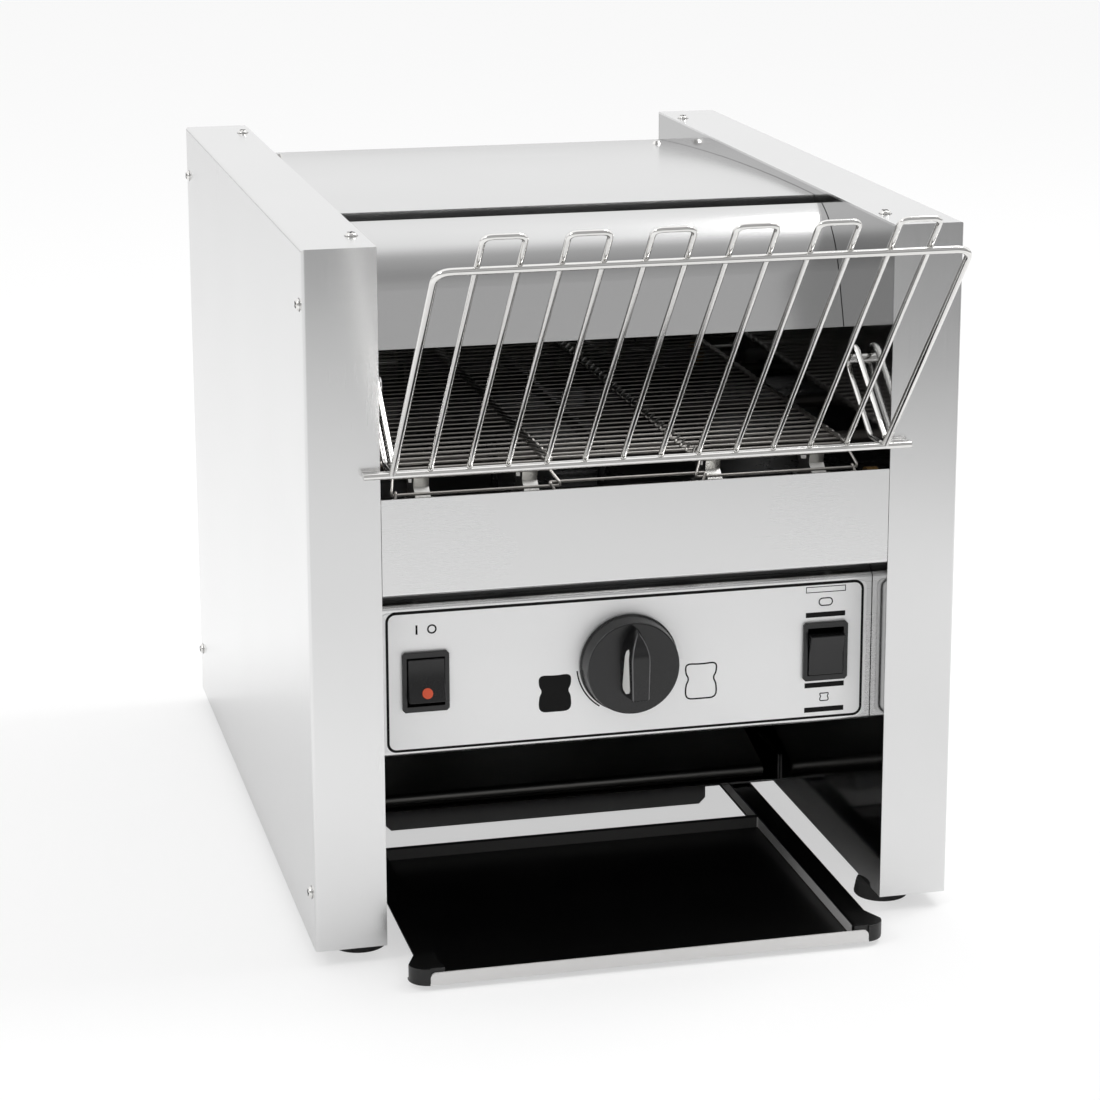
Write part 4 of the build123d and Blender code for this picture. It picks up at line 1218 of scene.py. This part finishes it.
@dataclass
class LoadingRack:
    """The sloping wire rack, its two bottom rods and the hairpins that it hangs by."""

    front_rod: tuple[float, float] = (-5.6, 278.4)
    rear_rod: tuple[float, float] = (-1.95, 278.4)
    rod_half: float = 154.0
    rod_radius: float = 2.0
    rear_radius: float = 1.65
    rail: tuple[float, float] = (-128.0, 410.0)
    half_width: float = 138.5
    frame_bend: float = 9.0
    frame_steps: int = 10
    slat_radius: float = 1.6
    slat_lift: float = 0.6
    slats: int = 12
    loop_reach: float = 21.4
    loop_bend: float = 5.0
    loop_steps: int = 8
    hook_radius: float = 1.75
    hook_inset: float = 0.5
    hook_half_gap: float = 9.4
    hook_slope_deg: float = 38.0
    hook_bend: tuple[float, float] = (46.6, 314.3)
    hook_steps: int = 12
    knee_cut: float = 5.0
    knee_steps: int = 6
    leg_lift: float = 0.35
    thin_fineness: int = 3
    thick_fineness: int = 4
    sharp_deg: float = 60.0

    def slope(self) -> tuple[Vector, Vector, float]:
        """The rack's upward direction, its inward normal and its slant height."""
        up = Vector((0, self.rail[0] - self.front_rod[0], self.rail[1] - self.front_rod[1]))
        return up.normalized(), Vector((0, up.z, -up.y)).normalized(), up.length

    def slat_shape(self) -> BMesh:
        """Pairs of slats, each bent from one wire with a loop above the rail.

        Returns:
            A bmesh of all the slats.
        """
        up, inward, height = self.slope()
        foot = Vector((0, *self.front_rod)) + inward * (self.rod_radius + self.slat_radius)
        foot += up * self.slat_lift
        top = foot + up * (height + self.loop_reach)
        pitch = 2 * self.half_width / (self.slats + 1)
        shape = bmesh.new()
        for n in range(1, self.slats, 2):
            a = Vector((n * pitch - self.half_width, 0, 0))
            b = a + Vector((pitch, 0, 0))
            corners = [foot + a, top + a, top + b, foot + b]
            line = rounded(corners, self.loop_bend, self.loop_steps)
            join(shape, tube(line, self.slat_radius, self.thin_fineness))
        return shape

    def frame_shape(self) -> BMesh:
        """The outer wire: two side members and the rail.

        Returns:
            A bmesh of the wire.
        """
        foot = Vector((0, *self.front_rod)) + self.slope()[0] * self.rod_radius
        rail, side = Vector((0, *self.rail)), Vector((self.half_width, 0, 0))
        corners = [foot - side, rail - side, rail + side, foot + side]
        line = rounded(corners, self.frame_bend, self.frame_steps)
        return tube(line, self.rod_radius, self.thick_fineness)

    def hook_shape(self) -> BMesh:
        """Both hairpins: a foot on the rear rod, a bend over the peg and a leg to the frame.

        Returns:
            A bmesh of both.
        """
        inward = self.slope()[1]
        slant = radians(self.hook_slope_deg)
        along, across = Vector((0, cos(slant), sin(slant))), Vector((0, -sin(slant), cos(slant)))
        rear_y, rear_z = self.rear_rod
        shape = bmesh.new()
        for side in (-1, 1):
            x = Vector((side * (self.half_width - self.hook_inset), 0, 0))
            centre = Vector((0, *self.hook_bend)) + x
            low = centre - across * self.hook_half_gap
            knee = low - along * ((low.z - rear_z) / along.z)
            foot = Vector((0, rear_y + self.rear_radius, rear_z)) + x
            arc = []
            for step in range(self.hook_steps + 1):
                turn = slant - pi / 2 + pi * step / self.hook_steps
                arc.append(centre + Vector((0, cos(turn), sin(turn))) * self.hook_half_gap)
            base = Vector((0, *self.front_rod)) + inward * (self.rod_radius + self.leg_lift)
            run = (arc[-1] - base).dot(inward) / along.dot(inward)
            bent = rounded([foot, knee, arc[0]], self.knee_cut, self.knee_steps)
            line = [*bent, *arc[1:], arc[-1] - along * run]
            join(shape, tube(line, self.hook_radius, self.thin_fineness))
        return shape

    def build(self) -> None:
        """Builds the rack's wires on the rack's own body."""
        wires = {
            "rack_slats": self.slat_shape(),
            "rack_frame": self.frame_shape(),
            "rack_hooks": self.hook_shape(),
        }
        for name, (y, z), radius in (
            ("rack_front_rod", self.front_rod, self.rod_radius),
            ("rack_rear_rod", self.rear_rod, self.rear_radius),
        ):
            ends = [Vector((side * self.rod_half, y, z)) for side in (-1, 1)]
            wires[name] = tube(ends, radius, self.thick_fineness)
        for name, shape in wires.items():
            look = Dressing(
                f"{name}_round", PolishedWire(), "bright_wire", "loading_rack", (name,),
                self.sharp_deg,
            )
            settle(shape, look)


@dataclass
class Screws:
    """Pan head screws with a cross recess."""

    half_width: float = 184.0
    depth: float = 485.0
    heights: tuple[float, float] = (40.0, 370.0)
    inset: float = 11.0
    top: tuple[float, float] = (151.0, 401.0)
    top_setback: float = 37.0
    panel_x: float = 120.0
    panel_y: float = 29.5
    panel_z: float = 203.6
    head_radius: float = 3.3
    panel_head_radius: float = 2.6
    head_height: float = 2.1
    dome: tuple[tuple[float, float], ...] = (
        (0, 1), (0.35, 0.98), (0.65, 0.88), (0.88, 0.66), (1.0, 0.3), (1.0, 0),
    )
    steps: int = 24
    bar_shares: tuple[float, float] = (1.25, 0.34)
    bar_depth: float = 0.5
    bar_round: float = 0.15
    bar_segments: int = 3
    cross_lift: float = 0.02
    # The ring of painted shadow round each head.
    gap_width: float = 0.45
    gap_lift: float = 0.04
    turn: float = 0.7

    def head(self, radius: float) -> BMesh:
        """A domed head of a given radius, on the XY plane."""
        return spun([(x * radius, 0, self.head_height * z) for x, z in self.dome], self.steps)

    def cross(self, radius: float) -> BMesh:
        """The recess as a dark cross of painted shade, just above the head's crown.

        Args:
            radius: The head's radius.

        Returns:
            A bmesh of the cross.
        """
        shape = bmesh.new()
        length, width = (radius * share for share in self.bar_shares)
        lift = self.head_height + self.cross_lift - self.bar_depth / 2
        for turn in (0, pi / 2):
            bar = bmesh.new()
            bmesh.ops.create_cube(bar, size=1.0)
            bmesh.ops.scale(bar, vec=(length, width, self.bar_depth), verts=bar.verts)
            upright = [
                edge for edge in bar.edges
                if abs(edge.verts[0].co.z - edge.verts[1].co.z) > self.bar_depth / 2
            ]
            bevel(bar, upright, radius * self.bar_round, self.bar_segments)
            join(shape, bar, Matrix.Translation((0, 0, lift)) @ Matrix.Rotation(turn, 4, "Z"))
        return shape

    def gap(self, radius: float) -> BMesh:
        """A dark ring of painted shadow round a head, where its edge stands off the sheet.

        Args:
            radius: The head's radius.

        Returns:
            A bmesh of the painted shadow's ring.
        """
        reaches = (radius, radius + self.gap_width)
        shape = spun([(reach, 0, self.gap_lift) for reach in reaches], self.steps)
        if sum(face.normal.z for face in shape.faces) < 0:
            bmesh.ops.reverse_faces(shape, faces=shape.faces)
        return shape

    def seats(self) -> list[tuple[str, float, Vector, Vector]]:
        """Where the screws sit.

        Returns:
            Each screw's node, head radius, seat and outward direction.
        """
        seats = []
        top_x, top_z = self.top
        for side, name in ((-1, "left"), (1, "right")):
            for y in (self.inset, self.depth - self.inset):
                for z in self.heights:
                    seat = (side * self.half_width, y, z)
                    seats.append((f"side_screws_{name}", self.head_radius, seat, (side, 0, 0)))
            for y in (self.top_setback, self.depth - self.top_setback):
                seat = (side * top_x, y, top_z)
                seats.append((f"top_screws_{name}", self.head_radius, seat, (0, 0, 1)))
        for x in (-self.panel_x, 0, self.panel_x):
            seat = (x, self.panel_y, self.panel_z)
            seats.append(("panel_screws", self.panel_head_radius, seat, (0, -1, 0)))
        return [(node, radius, Vector(seat), Vector(out)) for node, radius, seat, out in seats]

    def build(self) -> None:
        """Builds the heads of each set of screws, and the painted shade in and round them."""
        heads: dict[str, BMesh] = {}
        crosses = bmesh.new()
        for index, (node, radius, seat, out) in enumerate(self.seats()):
            upright = out.to_track_quat("Z", "Y").to_matrix().to_4x4()
            turned = upright @ Matrix.Rotation(index * self.turn, 4, "Z")
            place = Matrix.Translation(seat) @ turned
            join(heads.setdefault(node, bmesh.new()), self.head(radius), place)
            join(crosses, self.cross(radius), place)
            join(crosses, self.gap(radius), place)
        for node, shape in heads.items():
            name = f"{node}_domed"
            settle(shape, Dressing(name, PolishedWire(), "bright_wire", replaces=(node,)))
        # Painted shade: the dark crosses in the recesses and the rings round the heads.
        settle(crosses, Dressing("screw_recesses", PrintInk(), "bright_wire"))
        dress("cover_screws", PolishedWire())


class Figure(Enum):
    """What a printed mark shows."""

    PLATE = "plate"
    SLICE = "slice"


@dataclass(frozen=True)
class Mark:
    """A printed mark: its middle and size, and a line's width where only its edge is printed."""

    x: float
    z: float
    width: float
    height: float
    line: float = 0.0
    corner: float = 0.0
    figure: Figure = Figure.PLATE


@dataclass
class PanelPrint:
    """Marks printed on the overlay: a frame line, bars, plain slice shapes and a dial line."""

    face_y: float = 24.56
    marks: tuple[Mark, ...] = (
        Mark(0.5, 152.5, 277.0, 81.0, 1.5, 5.5),
        Mark(-42.3, 139.6, 18.7, 22.0, figure=Figure.SLICE),
        Mark(42.7, 140.2, 19.0, 22.0, 0.9, figure=Figure.SLICE),
        Mark(116.2, 173.9, 23.6, 3.0),
        Mark(116.2, 132.0, 23.6, 3.0),
        Mark(116.2, 117.3, 23.6, 3.0),
        Mark(116.2, 188.8, 23.8, 3.6, 0.45),
        Mark(-112.0, 182.2, 5.4, 5.4, 0.9, 2.65),
        Mark(-120.6, 182.2, 1.1, 5.4),
        Mark(116.2, 124.7, 5.6, 5.2, 0.6, figure=Figure.SLICE),
        Mark(116.2, 181.4, 8.6, 5.0, 0.7, 2.4),
    )
    corner_segments: int = 8
    slice_side: tuple[tuple[float, float], ...] = (
        (0.5, -0.5), (0.5, -0.1), (0.39, 0.06), (0.5, 0.2), (0.5, 0.5),
    )
    slice_dip: float = 0.46
    slice_round: float = 0.24
    slice_steps: int = 5
    dial_z: float = 154.5
    dial_reach: tuple[float, float] = (29.3, 30.1)
    dial_start_deg: float = 186.0
    dial_sweep_deg: float = 50.0
    dial_steps: int = 48

    def plate(self, mark: Mark) -> BMesh:
        """A flat rectangle that faces up, with rounded corners if the mark has them.

        Args:
            mark: The mark.

        Returns:
            A bmesh of the rectangle, round the origin.
        """
        shape = bmesh.new()
        bmesh.ops.create_grid(shape, x_segments=1, y_segments=1, size=0.5)
        bmesh.ops.scale(shape, vec=(mark.width, mark.height, 1), verts=shape.verts)
        if mark.corner:
            bevel(shape, shape.verts[:], mark.corner, self.corner_segments, "VERTICES")
        return shape

    def slice(self, mark: Mark) -> BMesh:
        """A plain slice of bread: a body with two round lobes above it.

        Args:
            mark: The mark.

        Returns:
            A bmesh of the slice, round the origin.
        """
        side = [(mark.width * a, mark.height * b) for a, b in self.slice_side]
        foot, dip = (0, -mark.height / 2), (0, mark.height * self.slice_dip)
        spots = [foot, *side, dip, *[(-a, b) for a, b in reversed(side)], foot]
        points = [Vector((a, b, 0)) for a, b in spots]
        line = rounded(points, mark.width * self.slice_round, self.slice_steps)
        shape = bmesh.new()
        shape.faces.new([shape.verts.new(point) for point in line[1:]])
        return shape

    def draw(self, mark: Mark) -> BMesh:
        """Draws a mark on the overlay.

        Args:
            mark: The mark.

        Returns:
            A flat bmesh, whole or only a band inside its edge.
        """
        shape = self.slice(mark) if mark.figure is Figure.SLICE else self.plate(mark)
        shape.transform(facing_front(mark.x, self.face_y, mark.z))
        if mark.line:
            shape.normal_update()
            middle = shape.faces[:]
            bmesh.ops.inset_region(
                shape, faces=middle, thickness=mark.line, use_even_offset=True, use_boundary=True
            )
            bmesh.ops.delete(shape, geom=middle, context="FACES")
        return shape

    def dial(self) -> BMesh:
        """The thin band round the knob, anticlockwise from its start.

        Returns:
            A flat bmesh of the band.
        """
        shape = bmesh.new()
        start = radians(self.dial_start_deg)
        reaches = [(cos(start) * reach, 0, sin(start) * reach) for reach in self.dial_reach]
        ends = [shape.verts.new(point) for point in reaches]
        bmesh.ops.spin(
            shape, geom=[*ends, shape.edges.new(ends)], axis=(0, -1, 0), cent=(0, 0, 0),
            angle=radians(self.dial_sweep_deg), steps=self.dial_steps,
        )
        bmesh.ops.translate(shape, vec=(0, self.face_y, self.dial_z), verts=shape.verts)
        return shape

    def build(self) -> None:
        """Builds every mark as one flat piece."""
        shape = bmesh.new()
        for drawn in (*map(self.draw, self.marks), self.dial()):
            join(shape, drawn)
        for face in shape.faces:
            if face.normal.y > 0:
                face.normal_flip()
        settle(shape, Dressing("panel_print", PrintInk(), "black_plastic"))


# ------------------------------------------------------------------ studio


def set_stops(ramp: Node, stops: Sequence[tuple[float, Sequence[float]]]) -> None:
    """Gives a colour ramp its stops.

    Args:
        ramp: The ramp's node.
        stops: Each stop's position and linear colour.
    """
    elements = ramp.color_ramp.elements
    while len(elements) < len(stops):
        elements.new(0.5)
    for element, (position, colour) in zip(elements, stops):
        element.position, element.color = position, colour


@dataclass
class Viewpoint:
    """The camera: where it stands, how it leans and how much of the scene it takes in."""

    place: tuple[float, float, float] = (-0.4317, -1.7637, 0.6839)
    yaw: float = -0.2504
    pitch: float = -0.2364
    roll: float = 0.0010
    sensor: float = 36.0
    focal_share: float = 2.822
    shift: tuple[float, float] = (-0.0395, -0.1)

    def build(self) -> None:
        """Makes the camera and gives it to the scene."""
        data = bpy.data.cameras.new("viewpoint")
        data.sensor_width = self.sensor
        data.lens = self.focal_share * data.sensor_width
        data.shift_x, data.shift_y = self.shift
        camera = bpy.data.objects.new("viewpoint", data)
        bpy.context.scene.collection.objects.link(camera)
        level = cos(self.pitch)
        forward = Vector((-sin(self.yaw) * level, cos(self.yaw) * level, sin(self.pitch)))
        turned = forward.to_track_quat("-Z", "Y").to_matrix().to_4x4()
        rolled = turned @ Matrix.Rotation(self.roll, 4, "Z")
        camera.matrix_world = Matrix.Translation(self.place) @ rolled
        bpy.context.scene.camera = camera


@dataclass(frozen=True)
class Softbox:
    """A square soft lamp: its place, its power and its side, in metres and watts."""

    place: tuple[float, float, float]
    watts: float
    side: float


@dataclass
class Studio:
    """A white floor and a dome of soft light, with two softboxes for the shadow and edges."""

    floor_tones: tuple[tuple[float, str], ...] = (
        (0.0, "#909090"), (0.54, "#fafafa"), (0.73, "#e6e6e6"), (0.95, "#fafafa"),
    )
    tone_reach: tuple[float, float] = (-2.6, -0.2)
    tone_slant: float = -1.0
    floor_half: float = 8.0
    floor_lift: float = 0.56
    dome: tuple[tuple[float, float], ...] = (
        (0.0, 0.4), (0.14, 0.58), (0.24, 0.38), (0.36, 0.5), (0.47, 1.15), (0.6, 1.22),
        (0.85, 1.05), (1.0, 1.0),
    )
    dome_top: float = 1.3
    lamps: tuple[Softbox, ...] = (
        Softbox((1.3, 0.1, 2.3), 24.0, 0.9),
        Softbox((-1.4, -0.7, 1.5), 5.0, 0.4),
    )
    aim: tuple[float, float, float] = (0.0, 0.0, 0.2)

    def floor(self) -> None:
        """Makes the counter: white to the eye, with a faint trace of the soft shadow."""
        mesh = bpy.data.meshes.new("floor")
        shape = bmesh.new()
        bmesh.ops.create_grid(shape, x_segments=1, y_segments=1, size=self.floor_half)
        shape.to_mesh(mesh)
        shape.free()
        floor = bpy.data.objects.new("floor", mesh)
        bpy.context.scene.collection.objects.link(floor)
        material = bpy.data.materials.new("studio_floor")
        material.use_nodes = True
        tree = material.node_tree
        tree.nodes.clear()
        place = add(tree, "TexCoord", {}, {}).outputs["Object"]
        across, along, _ = add(tree, "SeparateXYZ", {}, {0: place}).outputs
        slant = {"operation": "MULTIPLY_ADD", 1: self.tone_slant}
        slanted = add(tree, "Math", slant, {0: across, 2: along})
        far, near = self.tone_reach
        reach = add(tree, "MapRange", {"From Min": far, "From Max": near}, {"Value": slanted})
        tones = add(tree, "ValToRGB", {}, {0: reach})
        set_stops(tones, [(position, linear(tone)) for position, tone in self.floor_tones])
        matt = add(tree, "BsdfDiffuse", {}, {"Color": tones})
        white = add(tree, "Emission", {"Strength": 1.0}, {})
        seen = add(tree, "LightPath", {}, {}).outputs["Is Camera Ray"]
        lift = add(tree, "Math", {"operation": "MULTIPLY", 1: self.floor_lift}, {0: seen})
        mixed = add(tree, "MixShader", {}, {0: lift, 1: matt, 2: white})
        add(tree, "OutputMaterial", {}, {"Surface": mixed})
        mesh.materials.append(material)

    def world(self) -> None:
        """Makes a dome that is white to the eye and varies from front to rear for the metal."""
        world = bpy.data.worlds.new("studio")
        bpy.context.scene.world = world
        world.use_nodes = True
        tree = world.node_tree
        background = tree.nodes["Background"]
        background.inputs["Color"].default_value = (1.0, 1.0, 1.0, 1.0)
        place = add(tree, "TexCoord", {}, {}).outputs["Generated"]
        _, along, height = add(tree, "SeparateXYZ", {}, {0: place}).outputs
        front = add(tree, "Math", {"operation": "MULTIPLY", 1: -1.0}, {0: along})
        angle = add(tree, "Math", {"operation": "ARCTAN2"}, {0: height, 1: front})
        share = add(tree, "Math", {"operation": "DIVIDE", 1: pi}, {0: angle})
        ramp = add(tree, "ValToRGB", {}, {0: share})
        ramp.color_ramp.interpolation = "EASE"
        greys = [(position, (*[level / self.dome_top] * 3, 1.0)) for position, level in self.dome]
        set_stops(ramp, greys)
        scaled = add(tree, "Math", {"operation": "MULTIPLY", 1: self.dome_top}, {0: ramp})
        seen = add(tree, "LightPath", {}, {}).outputs["Is Camera Ray"]
        level = add(tree, "Mix", {"data_type": "FLOAT", 3: 1.0}, {0: seen, 2: scaled})
        feed(tree, background, {"Strength": level})

    def light(self) -> None:
        """Makes the lamps: a key above the right side and a weak one at the left for edges."""
        for softbox in self.lamps:
            data = bpy.data.lights.new("softbox", "AREA")
            data.energy = softbox.watts
            data.size = softbox.side
            lamp = bpy.data.objects.new("softbox", data)
            bpy.context.scene.collection.objects.link(lamp)
            lamp.location = softbox.place
            lamp.rotation_mode = "QUATERNION"
            aim = Vector(self.aim) - Vector(softbox.place)
            lamp.rotation_quaternion = aim.to_track_quat("-Z", "Y")

    def build(self) -> None:
        """Makes the floor, the world and the lamps."""
        bpy.context.scene.view_settings.view_transform = "Standard"
        self.floor()
        self.world()
        self.light()


def main() -> None:
    """Builds the view, the studio and every sub-assembly."""
    logging.basicConfig(level=logging.INFO, format="%(message)s")
    parts = (
        Viewpoint(), Studio(), Casework(), BasePan(), Mouldings(), Knob(), TrayCorners(),
        WireBelt(), LoadingRack(), Screws(), PanelPrint(),
    )
    for part in parts:
        part.build()
        log.info("%s ready", type(part).__name__)


if __name__ == "__main__":
    main()
